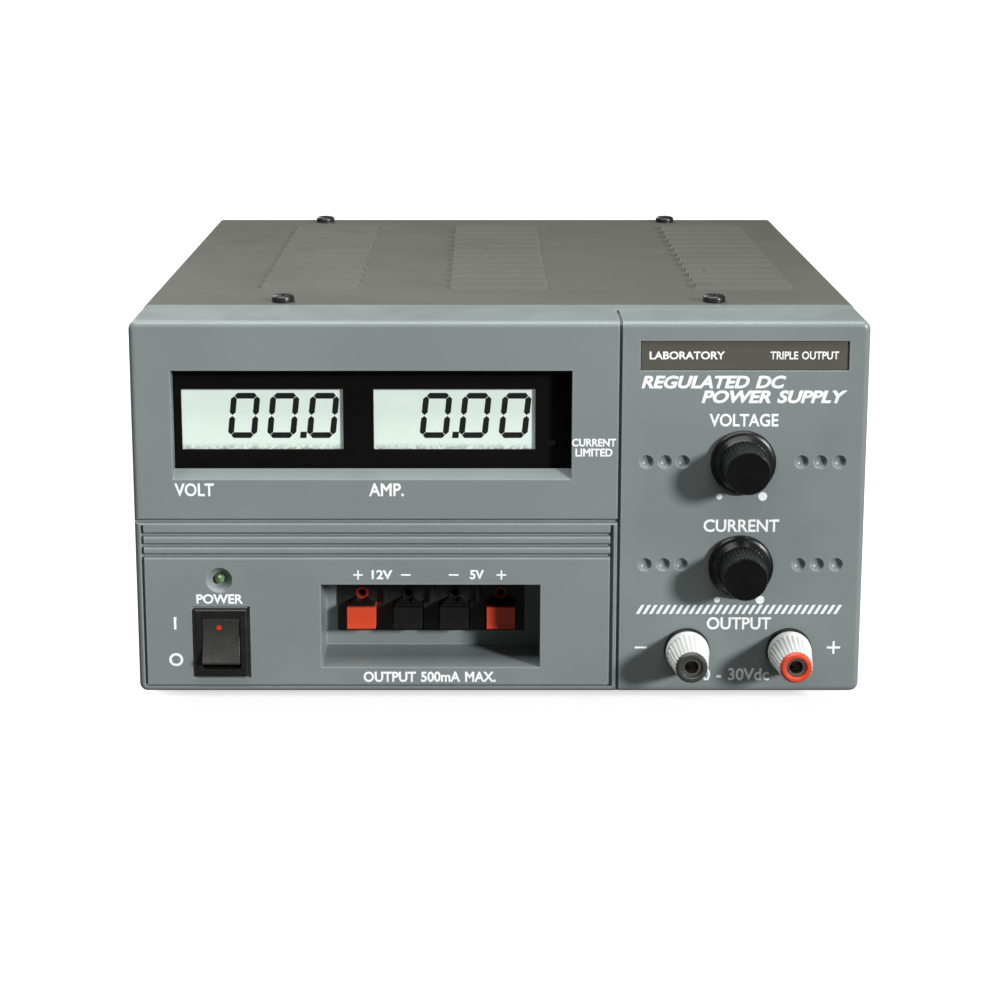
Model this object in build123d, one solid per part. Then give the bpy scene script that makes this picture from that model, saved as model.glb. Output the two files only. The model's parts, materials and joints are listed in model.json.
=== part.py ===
from build123d import *
import math
import os

# Bench power supply, in millimetres, +Z up.
# Origin: centre of the overall box, on the plane that the rubber feet stand on.
# Places are given as x (right of centre), depth (behind the front face) and
# height (above the bezel's lower edge).

# Driving dimensions
WIDTH = 216.0
FACE_HEIGHT = 113.2
FOOT_HEIGHT = 6.0
BEZEL_DEPTH = 27.7
CASE_DEPTH = 220.0        # front face to the cover's rear edge
POST_REACH = 16.6         # binding posts in front of the face
SINK_DEPTH = 25.0         # heat sink behind the rear panel
FRONT_Y = POST_REACH - (POST_REACH + CASE_DEPTH + SINK_DEPTH) / 2

WALL = 2.5                # moulded bezel wall
SHEET = 1.0               # steel cover
PLATE = 1.2               # steel chassis parts
BOARD = 1.6               # circuit boards
GAP = 0.1                 # clearance round fixed fasteners
BOARD_HOLE = 1.1 + GAP    # radius of the holes for the small board screws
PANEL_HOLE = 1.5 + GAP    # for the screws in the rear panel and main board
COVER_HOLE = 1.6 + GAP    # for the cover screws
BASE_HOLE = 2.0 + GAP     # for the feet and the transformer's bolts
RUNNING = 0.05            # radial clearance of turning parts

# Front layout
LEFT_SECTION_EDGE = 35.4  # groove between the left and right sections
SPLIT_TOP = 53.6
RIB_TOPS = (49.4, 46.1, 43.0)
RIB_FIELD_X = (-106.1, 33.9)
GROOVE_DEPTH = 1.4
DISPLAY_X = (-96.0, 21.3)
DISPLAY_HEIGHT = (65.8, 98.6)
DISPLAY_DEPTH = 4.5
DISPLAY_SILL_RISE = 2.3
LCD_CENTRES = (-70.0, -13.2)
LCD_HEIGHT = 82.6
LCD_VIEW = (47.8, 18.4)
LCD_GLASS = (50.8, 30.5)
LIMIT_LED = (16.0, 75.3)
NAME_PLATE_X = (41.1, 101.9)
NAME_PLATE_HEIGHT = (98.6, 107.4)
NAME_PLATE_RECESS = 1.0
CONTROL_X = 71.6
CONTROL_HEIGHTS = {"voltage": 71.2, "current": 39.4}
DIMPLE_XS = (43.3, 48.7, 54.0, 88.9, 94.4, 100.0)
DIMPLE_RADIUS = 2.0
POST_XS = {"negative": 56.2, "positive": 86.7}
POST_HEIGHT = 13.3
POWER_LED = (-83.2, 35.0)
SWITCH_CENTRE = (-82.9, 15.6)
SWITCH_FLANGE = (15.8, 21.0)
RECESS_X = (-53.1, 12.3)
RECESS_HEIGHT = (7.75, 33.6)
RECESS_DEPTH = 21.0
LEVER_XS = {"12v_plus": -41.9, "12v_minus": -27.7, "5v_minus": -13.5, "5v_plus": 0.7}
WIRE_HOLE_HEIGHT = 24.7
WIRE_HOLE_RADIUS = 1.2

# Case layout
COVER_HALF_WIDTH = 107.7
COVER_FRONT = BEZEL_DEPTH + GAP
FLOOR_HEIGHT = 1.0        # underside of the base pan
SCREW_XS = (-65.8, 65.8)
SCREW_DEPTHS = (33.5, 213.7)
SIDE_SCREW_DEPTHS = (60.0, 190.0)
SIDE_SCREW_HEIGHT = 9.0
LOUVRE_XS = (-59.5, 0.3, 77.7)
LOUVRE_WIDTH = 31.0
LOUVRE_PITCH = 11.08
LOUVRE_START = 55.9
LOUVRE_COUNT = 13
LOUVRE_RISE = 1.35
FOOT_XS = (-86.0, 86.0)
FOOT_DEPTHS = (48.0, 196.0)
REAR_FACE = CASE_DEPTH - 1.6
INLET_X = -74.0
INLET_HEIGHT = 38.0
SELECTOR_X = -74.0
SELECTOR_HEIGHT = 78.0
SINK_X = (-30.0, 96.0)
SINK_HEIGHT = (9.0, 106.0)
TRANSISTOR_XS = (2.0, 60.0)
TRANSISTOR_HEIGHT = 72.0
BOARD_X = (12.0, 102.0)
BOARD_DEPTHS = (56.0, 196.0)
BOARD_HEIGHT = 12.0
TRANSFORMER_X = -52.0
TRANSFORMER_DEPTH = 118.0
CORE = (84.0, 43.0, 70.0)

nodes = {}


def y_at(depth):
    return FRONT_Y + depth


def z_at(height):
    return FOOT_HEIGHT + height


def block(xs, depths, heights):
    """A box between two x places, two depths and two heights."""
    size = (xs[1] - xs[0], depths[1] - depths[0], heights[1] - heights[0])
    centre = (sum(xs) / 2, y_at(sum(depths) / 2), z_at(sum(heights) / 2))
    return Pos(*centre) * Box(*size)


def span(centre, width):
    """The two ends of a stretch of this width about its centre."""
    return (centre - width / 2, centre + width / 2)


def rod(x, height, depths, radius):
    """A cylinder that runs front to back."""
    length = depths[1] - depths[0]
    return Pos(x, y_at(sum(depths) / 2), z_at(height)) * Rot(90, 0, 0) * Cylinder(radius, length)


def upright(x, depth, heights, radius):
    """A cylinder that stands up."""
    length = heights[1] - heights[0]
    return Pos(x, y_at(depth), z_at(sum(heights) / 2)) * Cylinder(radius, length)


def crossbar(xs, depth, height, radius):
    """A cylinder that runs side to side."""
    centre = Pos(sum(xs) / 2, y_at(depth), z_at(height))
    return centre * Rot(0, 90, 0) * Cylinder(radius, xs[1] - xs[0])


def side_profile(points, xs):
    """A (depth, height) outline, carried from one x place to another."""
    outline = [(y_at(depth), z_at(height)) for depth, height in points]
    face = Plane.YZ * Polygon(*outline, align=None)
    return Pos(xs[0], 0, 0) * extrude(face, amount=xs[1] - xs[0], dir=(1, 0, 0))


def front_profile(points, depths):
    """An (x, height) outline, carried from one depth to another."""
    outline = [(x, z_at(height)) for x, height in points]
    face = Plane.XZ * Polygon(*outline, align=None)
    return Pos(0, y_at(depths[1]), 0) * extrude(face, amount=depths[1] - depths[0], dir=(0, -1, 0))


def turned(points, x, height):
    """A (radius, depth) outline, turned about a front-to-back axis."""
    solid = revolve(Plane.XY * Polygon(*points, align=None), Axis.Y)
    return Pos(x, FRONT_Y, z_at(height)) * solid


def fluted(x, height, depths, radii, flutes, flute_depth):
    """A tapering grip with lengthwise flutes, from its base to its end."""
    sections = []
    for depth, radius in zip(depths, radii):
        points = []
        for step in range(4 * flutes):
            ridge = step % 4 in (0, 1)
            r = radius if ridge else radius - flute_depth
            angle = 2 * math.pi * (step + 0.25 * (step % 2)) / (4 * flutes)
            points.append((r * math.cos(angle), r * math.sin(angle)))
        plane = Plane(origin=(x, y_at(depth), z_at(height)), x_dir=(1, 0, 0), z_dir=(0, -1, 0))
        sections.append(plane * Polygon(*points, align=None))
    return loft(sections, ruled=True)


def pan_screw(head_radius, head_height, shank_radius, shank_length):
    """A cross-head screw at the origin: its head above Z = 0, its shank below."""
    head = Pos(0, 0, head_height / 2) * Cylinder(head_radius, head_height)
    head = fillet(head.edges().group_by(Axis.Z)[-1], head_height * 0.55)
    slot = Box(head_radius * 1.15, head_radius * 0.24, head_height)
    cross = slot + Rot(0, 0, 90) * slot
    shank = Pos(0, 0, -shank_length / 2) * Cylinder(shank_radius, shank_length)
    return head + shank - Pos(0, 0, head_height) * cross


def hex_nut(across_flats, thickness, hole_radius):
    """A nut at the origin that stands on Z = 0."""
    outline = RegularPolygon(across_flats / 2, 6, major_radius=False)
    return extrude(outline, amount=thickness) - Cylinder(hole_radius, 3 * thickness)


def facing_back(x, depth, height):
    """Turns a piece's +Z to the rear and puts its origin at this place."""
    return Pos(x, y_at(depth), z_at(height)) * Rot(-90, 0, 0)


def group(pieces):
    """Separate solids that share one node."""
    return Compound(children=[solid for piece in pieces for solid in piece.solids()])


# ---------------------------------------------------------------- front bezel

BOSS_PLACES = [(x, height) for x in (-100.0, 100.0) for height in (8.0, 105.0)]
DISPLAY_BOSSES = [(x, height) for x in (-88.0, 14.0) for height in (60.2, 104.3)]
CONTROL_BOSSES = [(x, height) for x in (43.0, 98.0) for height in (25.0, 90.0)]
LED_CONE_RADIUS = 3.9
CONTROL_BOARD_DEPTH = 20.0
DISPLAY_BOARD_DEPTH = 12.3
BLOCK_WINDOW_X = (-49.5, 7.9)
BLOCK_WINDOW_FLOOR = 12.4


def bezel_outline():
    """The moulding's outer block, with its rounded corners and front edges."""
    outline = RectangleRounded(WIDTH, FACE_HEIGHT, 2.5)
    slab = extrude(Plane.XZ * outline, amount=BEZEL_DEPTH)
    slab = Pos(0, y_at(BEZEL_DEPTH), z_at(FACE_HEIGHT / 2)) * slab
    return fillet(slab.faces().sort_by(Axis.Y)[0].edges(), 1.8)


def bezel_inside():
    """The bosses, frames and pocket walls that stand behind the face."""
    inner = (WALL - 0.5, BEZEL_DEPTH)
    pieces = [rod(x, height, inner, 4.0) for x, height in BOSS_PLACES]
    pieces += [rod(x, height, (WALL - 0.5, DISPLAY_BOARD_DEPTH), 2.2) for x, height in DISPLAY_BOSSES]
    pieces += [rod(x, height, (WALL - 0.5, CONTROL_BOARD_DEPTH), 2.6) for x, height in CONTROL_BOSSES]
    pieces.append(block((DISPLAY_X[0] - 3, DISPLAY_X[1] + 3), (WALL - 0.5, DISPLAY_DEPTH),
                        (DISPLAY_HEIGHT[0] - 3, DISPLAY_HEIGHT[1] + 3)))
    pieces.append(rod(*POWER_LED, (WALL - 0.5, 4.5), 5.0))
    pieces.append(block((RECESS_X[0] - 1.6, RECESS_X[1] + 1.6), (WALL - 0.5, RECESS_DEPTH + 1.6),
                        (RECESS_HEIGHT[0] - 1.6, RECESS_HEIGHT[1] + 1.6)))
    return pieces


def display_opening():
    """Square-cut sides and top, and a sill that slopes up to the window."""
    sill = [(-1.0, DISPLAY_HEIGHT[0] - DISPLAY_SILL_RISE / DISPLAY_DEPTH),
            (DISPLAY_DEPTH + 1, DISPLAY_HEIGHT[0] + DISPLAY_SILL_RISE * (1 + 1 / DISPLAY_DEPTH)),
            (DISPLAY_DEPTH + 1, DISPLAY_HEIGHT[1] - 0.4),
            (-1.0, DISPLAY_HEIGHT[1])]
    return side_profile(sill, DISPLAY_X)


def ribbed_groove(top, xs):
    """A groove with a rounded edge above it and a longer rounded shoulder below."""
    outline = [(-0.1, top + 0.55), (0.08, top + 0.3), (0.3, top + 0.05), (0.7, top - 0.1),
               (GROOVE_DEPTH, top - 0.15), (GROOVE_DEPTH, top - 0.9), (0.7, top - 1.0),
               (0.25, top - 1.2), (0.05, top - 1.5), (-0.1, top - 2.0)]
    return side_profile(outline, xs)


def face_grooves():
    """Shallow grooves that part the face, and the three ribs under the split."""
    left, right = RIB_FIELD_X
    low, high = (2.1, 51.9)
    grooves = [ribbed_groove(SPLIT_TOP, (-WIDTH / 2 - 1, LEFT_SECTION_EDGE))]
    grooves += [ribbed_groove(top, (left + 0.4, right - 0.5)) for top in RIB_TOPS]
    grooves.append(block((left, left + 0.8), (-1, GROOVE_DEPTH), (low, high)))
    grooves.append(block((right - 1.0, right), (-1, GROOVE_DEPTH), (low, high)))
    grooves.append(block(RIB_FIELD_X, (-1, GROOVE_DEPTH), (low - 0.4, low + 0.4)))
    parting = span(LEFT_SECTION_EDGE, 0.9)
    grooves.append(block(parting, (-1, 1.8), (-1, FACE_HEIGHT + 1)))
    grooves.append(block(parting, (-1, 19.5), (FACE_HEIGHT - 1.2, FACE_HEIGHT + 1)))
    grooves.append(block((LEFT_SECTION_EDGE, 96.0), (19.1, 19.5), (FACE_HEIGHT - 0.25, FACE_HEIGHT + 1)))
    return grooves


def terminal_pocket():
    """The deep recess, and the window in its back wall for the terminal block."""
    pocket = block(RECESS_X, (-1, RECESS_DEPTH), RECESS_HEIGHT)
    window = block(BLOCK_WINDOW_X, (0, RECESS_DEPTH + 3), (BLOCK_WINDOW_FLOOR, RECESS_HEIGHT[1]))
    return [pocket, window]


def bezel_holes():
    """Everything cut through or into the face."""
    cuts = [display_opening()]
    cuts += face_grooves()
    cuts += terminal_pocket()
    cuts.append(block(NAME_PLATE_X, (-1, NAME_PLATE_RECESS), NAME_PLATE_HEIGHT))
    for height in (CONTROL_HEIGHTS["voltage"], CONTROL_HEIGHTS["current"] + 0.4):
        for x in DIMPLE_XS:
            cuts.append(Pos(x, y_at(-0.7), z_at(height)) * Sphere(DIMPLE_RADIUS + 0.15))
    for height in CONTROL_HEIGHTS.values():
        cuts.append(rod(CONTROL_X, height, (-1, WALL + 1), 3.6 + GAP))
    for x in POST_XS.values():
        cuts.append(rod(x, POST_HEIGHT, (-1, WALL + 1), 2.9 + GAP))
    cone = [(0, -0.5), (LED_CONE_RADIUS + 0.4, -0.5), (1.6, 2.6), (1.6, 6), (0, 6)]
    cuts.append(turned(cone, *POWER_LED))
    cuts.append(block(span(SWITCH_CENTRE[0], SWITCH_FLANGE[0] + 1.4), (-1, 0.8),
                      span(SWITCH_CENTRE[1], SWITCH_FLANGE[1] + 1.4)))
    cuts.append(block(span(SWITCH_CENTRE[0], 13.7), (-1, 4), span(SWITCH_CENTRE[1], 19.4)))
    cuts += [rod(x, height, (8, BEZEL_DEPTH + 1), 1.5) for x, height in BOSS_PLACES]
    cuts += [rod(x, height, (5, DISPLAY_BOARD_DEPTH + 1), BOARD_HOLE) for x, height in DISPLAY_BOSSES]
    cuts += [rod(x, height, (10, CONTROL_BOARD_DEPTH + 1), BOARD_HOLE) for x, height in CONTROL_BOSSES]
    return cuts


def front_bezel():
    hollow = block(span(0, WIDTH - 2 * WALL), (WALL, BEZEL_DEPTH + 1), (WALL, FACE_HEIGHT - WALL))
    return bezel_outline() - hollow + bezel_inside() - bezel_holes()


nodes["front_bezel"] = front_bezel()
nodes["name_plate"] = block((NAME_PLATE_X[0] + 0.2, NAME_PLATE_X[1] - 0.2), (0.5, NAME_PLATE_RECESS),
                            (NAME_PLATE_HEIGHT[0] + 0.2, NAME_PLATE_HEIGHT[1] - 0.2))

# -------------------------------------------------------------------- display

WINDOW_DEPTHS = (DISPLAY_DEPTH, DISPLAY_DEPTH + 1.5)
MASK_DEPTHS = (WINDOW_DEPTHS[1], WINDOW_DEPTHS[1] + 1.0)
GLASS_DEPTHS = (MASK_DEPTHS[1], MASK_DEPTHS[1] + 2.8)
PANE_X = (DISPLAY_X[0] - 2, DISPLAY_X[1] + 2)
PANE_HEIGHT = (DISPLAY_HEIGHT[0] - 2, DISPLAY_HEIGHT[1] + 2)
DISPLAY_BOARD_X = (-95.0, 21.0)


def display_mask():
    mask = block(PANE_X, MASK_DEPTHS, PANE_HEIGHT)
    for x in LCD_CENTRES:
        mask -= block(span(x, LCD_VIEW[0]), (0, 20), span(LCD_HEIGHT, LCD_VIEW[1]))
    return mask - rod(*LIMIT_LED, (0, 20), 1.7)


def glass(x):
    return block(span(x, LCD_GLASS[0]), GLASS_DEPTHS, span(LCD_HEIGHT, LCD_GLASS[1]))


def lcd_connectors():
    rows = [LCD_HEIGHT - 13.0, LCD_HEIGHT + 13.0]
    strips = []
    for x in LCD_CENTRES:
        for height in rows:
            strips.append(block(span(x, 48.0), (GLASS_DEPTHS[1], DISPLAY_BOARD_DEPTH), span(height, 3.0)))
    return group(strips)


def display_board():
    board = block(DISPLAY_BOARD_X, (DISPLAY_BOARD_DEPTH, DISPLAY_BOARD_DEPTH + BOARD), (57.5, 107.5))
    for x, height in DISPLAY_BOSSES:
        board -= rod(x, height, (0, 20), BOARD_HOLE)
    return board


def board_screws(places, depth):
    screw = pan_screw(2.1, 1.5, 1.1, 7.0)
    return [facing_back(x, depth, height) * screw for x, height in places]


def limit_led():
    dome = turned([(0, 6.6), (0.8, 6.8), (1.5, 7.6), (1.5, 11.0), (0, 11.0)], *LIMIT_LED)
    flange = rod(*LIMIT_LED, (11.0, DISPLAY_BOARD_DEPTH), 1.9)
    return dome + flange


board_back = DISPLAY_BOARD_DEPTH + BOARD
nodes["display_window"] = block(PANE_X, WINDOW_DEPTHS, PANE_HEIGHT)
nodes["display_mask"] = display_mask()
nodes["lcd_glasses"] = group([glass(x) for x in LCD_CENTRES])
nodes["lcd_connectors"] = lcd_connectors()
nodes["display_board"] = display_board()
meter_chips = [block(span(x, 51.0), (board_back, board_back + 3.6), span(LCD_HEIGHT, 14.0))
               for x in LCD_CENTRES]
board_fasteners = board_screws(DISPLAY_BOSSES, board_back)
nodes["current_limit_led"] = limit_led()

# ------------------------------------------------------------ power indicator


def power_led():
    dome = [(0, 0.3), (0.75, 0.5), (1.3, 1.05), (1.5, 1.8), (1.5, 4.6), (1.9, 4.6), (1.9, 5.5), (0, 5.5)]
    return turned(dome, *POWER_LED)


nodes["power_led"] = power_led()

# --------------------------------------------------------------- power switch

ROCKER_TILT = 12.0
ROCKER_PIVOT_DEPTH = 2.6
ROCKER_SIZE = (11.1, 13.9)
ROCKER_HOLLOW = 17.0      # radius of the hollow face
ROCKER_FACE = -1.2        # depth of the hollow's middle
ROCKER_BACK = (6.2, 8.4)  # depth and height of its flat back
SWITCH_BODY = (13.5, 19.2)
SWITCH_CAVITY = (11.5, 15.9)
PIVOT_RADIUS = 1.1


def rocker():
    """A paddle with a hollow face, tilted with the top end in."""
    x, height = SWITCH_CENTRE
    half = ROCKER_SIZE[1] / 2
    back_depth, back_height = ROCKER_BACK
    points = [(-4.0, height + half), (0.0, height + half), (back_depth, height + back_height / 2),
              (back_depth, height - back_height / 2), (0.0, height - half), (-4.0, height - half)]
    paddle = side_profile(points, span(x, ROCKER_SIZE[0]))
    paddle -= crossbar(span(x, 2 * ROCKER_SIZE[0]), ROCKER_FACE - ROCKER_HOLLOW, height, ROCKER_HOLLOW)
    front_edges = paddle.edges().filter_by(Axis.X).sort_by(Axis.Y)[:2]
    paddle = fillet(front_edges, 0.5)
    paddle += crossbar(span(x, ROCKER_SIZE[0] + 1.4), ROCKER_PIVOT_DEPTH, height, PIVOT_RADIUS)
    pivot = Axis((x, y_at(ROCKER_PIVOT_DEPTH), z_at(height)), (1, 0, 0))
    return paddle.rotate(pivot, -ROCKER_TILT)


def rocker_housing():
    x, height = SWITCH_CENTRE
    flange = block(span(x, SWITCH_FLANGE[0]), (-1.2, 0.8), span(height, SWITCH_FLANGE[1]))
    flange = fillet(flange.faces().sort_by(Axis.Y)[0].edges(), 0.7)
    body = block(span(x, SWITCH_BODY[0]), (0.8, 18.0), span(height, SWITCH_BODY[1]))
    cavity = block(span(x, SWITCH_CAVITY[0]), (-2, 12.0), span(height, SWITCH_CAVITY[1]))
    pivot_hole = crossbar(span(x, 12.9), ROCKER_PIVOT_DEPTH, height, PIVOT_RADIUS + RUNNING)
    return flange + body - cavity - pivot_hole


def switch_blades():
    x, height = SWITCH_CENTRE
    blades = [block(span(x + side * 3.5, 0.8), (18.0, 25.5), span(height + up, 4.8))
              for side in (-1, 1) for up in (-5.0, 5.0)]
    return group(blades)


nodes["rocker_housing"] = rocker_housing()
nodes["rocker"] = rocker()
nodes["switch_blades"] = switch_blades()

# ------------------------------------------------------------- terminal block

BLOCK_FACE = 20.4
BLOCK_BACK = 34.0
LEVER_WIDTH = 8.7
LEVER_HEIGHTS = (15.0, 21.8)
LEVER_FRONT = 13.6
LEVER_PIVOT = (21.6, 20.9)
LEVER_PIN_RADIUS = 0.8
BAY_WIDTH = LEVER_WIDTH + 0.6
BAY_TOP = 22.2
FUNNEL_LIP = 14.8
BUSH_FLATS = 3.7
BUSH_RIM_RADIUS = 2.0
BUSH_END = 31.0
RIB_XS = (-34.8, -20.6, -6.4)
BLOCK_SCREW_XS = (BLOCK_WINDOW_X[0] - 3.0, BLOCK_WINDOW_X[1] + 3.0)


def lever(x):
    """A push tab with a sloping lower lip, and the bar that it turns on."""
    low, high = LEVER_HEIGHTS
    face = LEVER_FRONT + 0.8
    points = [(face, high), (face, low + 1.7), (LEVER_FRONT, low + 0.4), (LEVER_FRONT + 0.4, low),
              (24.0, low + 0.2), (24.0, high - 1.2), (22.4, high)]
    tab = side_profile(points, span(x, LEVER_WIDTH))
    return tab + crossbar(span(x, BAY_WIDTH + 1.6), *LEVER_PIVOT, LEVER_PIN_RADIUS)


def octagon_bar(x, depths, across_flats):
    """An eight-sided bar on a wire hole's axis."""
    outline = Rot(0, 0, 22.5) * RegularPolygon(across_flats / 2, 8, major_radius=False)
    bar = extrude(Plane.XZ * outline, amount=depths[1] - depths[0])
    return Pos(x, y_at(depths[1]), z_at(WIRE_HOLE_HEIGHT)) * bar


def funnel(x):
    """The sloping guide under a wire hole, wider towards the lever."""
    low, high = (BAY_TOP, BAY_TOP + 1.6)
    face = front_profile([(x - 1.3, high), (x + 1.3, high), (x + 4.2, low), (x - 4.2, low)],
                         (FUNNEL_LIP, BLOCK_FACE + 0.5))
    slope = side_profile([(BLOCK_FACE + 0.5, high), (BLOCK_FACE, high), (FUNNEL_LIP, low),
                          (BLOCK_FACE + 0.5, low)], span(x, 10))
    return face & slope


def terminal_block():
    window_left, window_right = BLOCK_WINDOW_X
    nose = block((window_left + 0.1, window_right - 0.1), (BLOCK_FACE, BLOCK_BACK),
                 (BLOCK_WINDOW_FLOOR + 0.1, RECESS_HEIGHT[1] - 0.1))
    back = RECESS_DEPTH + 1.6
    flange = block((window_left - 5, window_right + 5), (back, back + 2), (BLOCK_WINDOW_FLOOR - 3, 36.6))
    body = nose + flange
    body += [block(span(x, 1.2), (18.6, BLOCK_FACE + 0.5), (BAY_TOP, RECESS_HEIGHT[1] - 0.1))
             for x in RIB_XS]
    body += [funnel(x) for x in LEVER_XS.values()]
    for x in LEVER_XS.values():
        body -= block(span(x, BAY_WIDTH), (BLOCK_FACE - 1, 28.0), (12.9, BAY_TOP))
        body -= crossbar(span(x, BAY_WIDTH + 2), *LEVER_PIVOT, LEVER_PIN_RADIUS + RUNNING)
        body -= octagon_bar(x, (FUNNEL_LIP - 1, BLOCK_FACE), 2 * BUSH_RIM_RADIUS + 0.1)
        body -= octagon_bar(x, (BLOCK_FACE, BUSH_END), BUSH_FLATS + 0.1)
        body -= block(span(x, 6.4), (29.0, BLOCK_BACK + 1), (14.0, 21.0))
    for x in BLOCK_SCREW_XS:
        body -= rod(x, 20.0, (20, 30), 1.2)
    return body


def wire_bush(x):
    """A coloured liner, with a thin round rim in front of the block's face."""
    bar = octagon_bar(x, (BLOCK_FACE, BUSH_END), BUSH_FLATS)
    rim = rod(x, WIRE_HOLE_HEIGHT, (BLOCK_FACE - 0.3, BLOCK_FACE), BUSH_RIM_RADIUS)
    return bar + rim - rod(x, WIRE_HOLE_HEIGHT, (10, 40), WIRE_HOLE_RADIUS)


def contact_spring(x):
    """A bent strip in the pocket behind each lever, with a solder tag."""
    strip = block(span(x, 5.0), (29.6, 30.2), (14.4, 20.6))
    tag = block(span(x, 3.0), (30.2, 41.0), (14.4, 15.0))
    return strip + tag


nodes["terminal_block"] = terminal_block()
for name, x in LEVER_XS.items():
    nodes["lever_" + name] = lever(x)
nodes["wire_bushes_red"] = group([wire_bush(LEVER_XS[name]) for name in ("12v_plus", "5v_plus")])
nodes["wire_bushes_black"] = group([wire_bush(LEVER_XS[name]) for name in ("12v_minus", "5v_minus")])
nodes["contact_springs"] = group([contact_spring(x) for x in LEVER_XS.values()])

# -------------------------------------------------------------- binding posts

POST_FLANGE_RADIUS = 6.8
POST_FLANGE = 1.6
POST_WASHER = 0.6
STUD_RADIUS = 2.9
STUD_FRONT = -15.6
SOCKET_RADIUS = 2.0
SOCKET_END = 3.0
CAP_BASE = -(POST_FLANGE + POST_WASHER)
CAP_END = -15.3
CAP_COLLAR = 2.6
CAP_RADII = (6.5, 4.9)
TIP_RADIUS = 4.6
LUG = 0.5


def post_cap(x):
    base = CAP_BASE - 0.05
    end = base - CAP_COLLAR
    wide, narrow = CAP_RADII
    grip = fluted(x, POST_HEIGHT, (end, CAP_END), (wide - 0.3, narrow), 26, 0.35)
    collar = turned([(0, base), (wide, base), (wide, base - 0.8), (wide - 0.3, end), (0, end)],
                    x, POST_HEIGHT)
    return grip + collar - rod(x, POST_HEIGHT, (-20, 0), STUD_RADIUS + RUNNING)


def post_tip(x):
    """The coloured ring at the cap's end."""
    inner = STUD_RADIUS + RUNNING
    ring = [(inner, CAP_END), (TIP_RADIUS, CAP_END), (TIP_RADIUS, -POST_REACH + 0.6),
            (TIP_RADIUS - 0.5, -POST_REACH), (inner + 0.3, -POST_REACH), (inner, -POST_REACH + 0.3)]
    return turned(ring, x, POST_HEIGHT)


def post_stud(x):
    stud = rod(x, POST_HEIGHT, (STUD_FRONT, 14.0), STUD_RADIUS)
    return stud - rod(x, POST_HEIGHT, (STUD_FRONT - 1, SOCKET_END), SOCKET_RADIUS)


def post_flange(x):
    profile = [(STUD_RADIUS + GAP, 0), (POST_FLANGE_RADIUS, 0), (POST_FLANGE_RADIUS, 0.4 - POST_FLANGE),
               (POST_FLANGE_RADIUS - 0.4, -POST_FLANGE), (STUD_RADIUS + GAP, -POST_FLANGE)]
    return turned(profile, x, POST_HEIGHT)


def post_washer(x):
    disc = rod(x, POST_HEIGHT, (CAP_BASE, -POST_FLANGE), 5.2)
    return disc - rod(x, POST_HEIGHT, (-10, 0), STUD_RADIUS + RUNNING)


def post_insulator(x):
    disc = rod(x, POST_HEIGHT, (WALL, WALL + 1.5), 6.0)
    return disc - rod(x, POST_HEIGHT, (0, 10), STUD_RADIUS + GAP)


def post_lug(x):
    front = WALL + 1.5
    ring = rod(x, POST_HEIGHT, (front, front + LUG), 5.0)
    tail = block(span(x, 3.6), (front, front + LUG), (POST_HEIGHT - 9.0, POST_HEIGHT - 3.5))
    return ring + tail - rod(x, POST_HEIGHT, (0, 10), STUD_RADIUS + GAP)


def post_nut(x):
    front = WALL + 1.5 + LUG
    return facing_back(x, front, POST_HEIGHT) * hex_nut(10.0, 3.0, STUD_RADIUS + GAP)


for name, x in POST_XS.items():
    nodes["post_cap_" + name] = post_cap(x)
    nodes["post_tip_" + name] = post_tip(x)
    nodes["clamp_washer_" + name] = post_washer(x)
for name, makers in (("post_studs", [post_stud]), ("post_bushings", [post_flange, post_insulator]),
                     ("post_nuts_and_lugs", [post_nut, post_lug])):
    nodes[name] = group([make(x) for x in POST_XS.values() for make in makers])

# ------------------------------------------------------------------- controls

SHAFT_RADIUS = 3.0
KNOB_LENGTH = 14.2
KNOB_SKIRT_RADIUS = 9.6
KNOB_GRIP_RADII = (7.2, 6.5)
SHAFT_END = -11.0
KNOB_GAP = 0.5
POT_FRONT = 9.0


def knob(height):
    """A stepped skirt, a fluted grip and a flat end."""
    wide, narrow = KNOB_GRIP_RADII
    grip_base = -4.2
    end = -KNOB_LENGTH
    skirt = [(0, -KNOB_GAP), (KNOB_SKIRT_RADIUS, -KNOB_GAP), (KNOB_SKIRT_RADIUS, -1.6), (9.2, -2.1),
             (8.5, -2.4), (8.1, -3.0), (7.6, -3.7), (wide, grip_base), (0, grip_base)]
    body = turned(skirt, CONTROL_X, height)
    body += fluted(CONTROL_X, height, (grip_base, end + 0.5), KNOB_GRIP_RADII, 36, 0.28)
    body += turned([(0, end + 0.5), (narrow - 0.1, end + 0.5), (narrow - 0.3, end), (0, end)],
                   CONTROL_X, height)
    return body - rod(CONTROL_X, height, (SHAFT_END, 0), SHAFT_RADIUS)


def pot_shaft(height):
    return rod(CONTROL_X, height, (SHAFT_END, POT_FRONT + 1.0), SHAFT_RADIUS)


def pot_body(height):
    """The bushing that the shaft turns in, and the can behind it."""
    bushing = rod(CONTROL_X, height, (0.6, POT_FRONT), 3.6)
    can = rod(CONTROL_X, height, (POT_FRONT, CONTROL_BOARD_DEPTH - 1.0), 8.0)
    bore = rod(CONTROL_X, height, (0, POT_FRONT + 1.0), SHAFT_RADIUS + RUNNING)
    pins = [rod(CONTROL_X + step * 5.0, height - 5.0, (CONTROL_BOARD_DEPTH - 1.5, CONTROL_BOARD_DEPTH), 0.5)
            for step in (-1, 0, 1)]
    return bushing + can - bore + pins


def control_board():
    back = CONTROL_BOARD_DEPTH + BOARD
    board = block((40.0, 101.0), (CONTROL_BOARD_DEPTH, back), (22.0, 93.0))
    for x, height in CONTROL_BOSSES:
        board -= rod(x, height, (0, 30), BOARD_HOLE)
    return board


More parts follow.
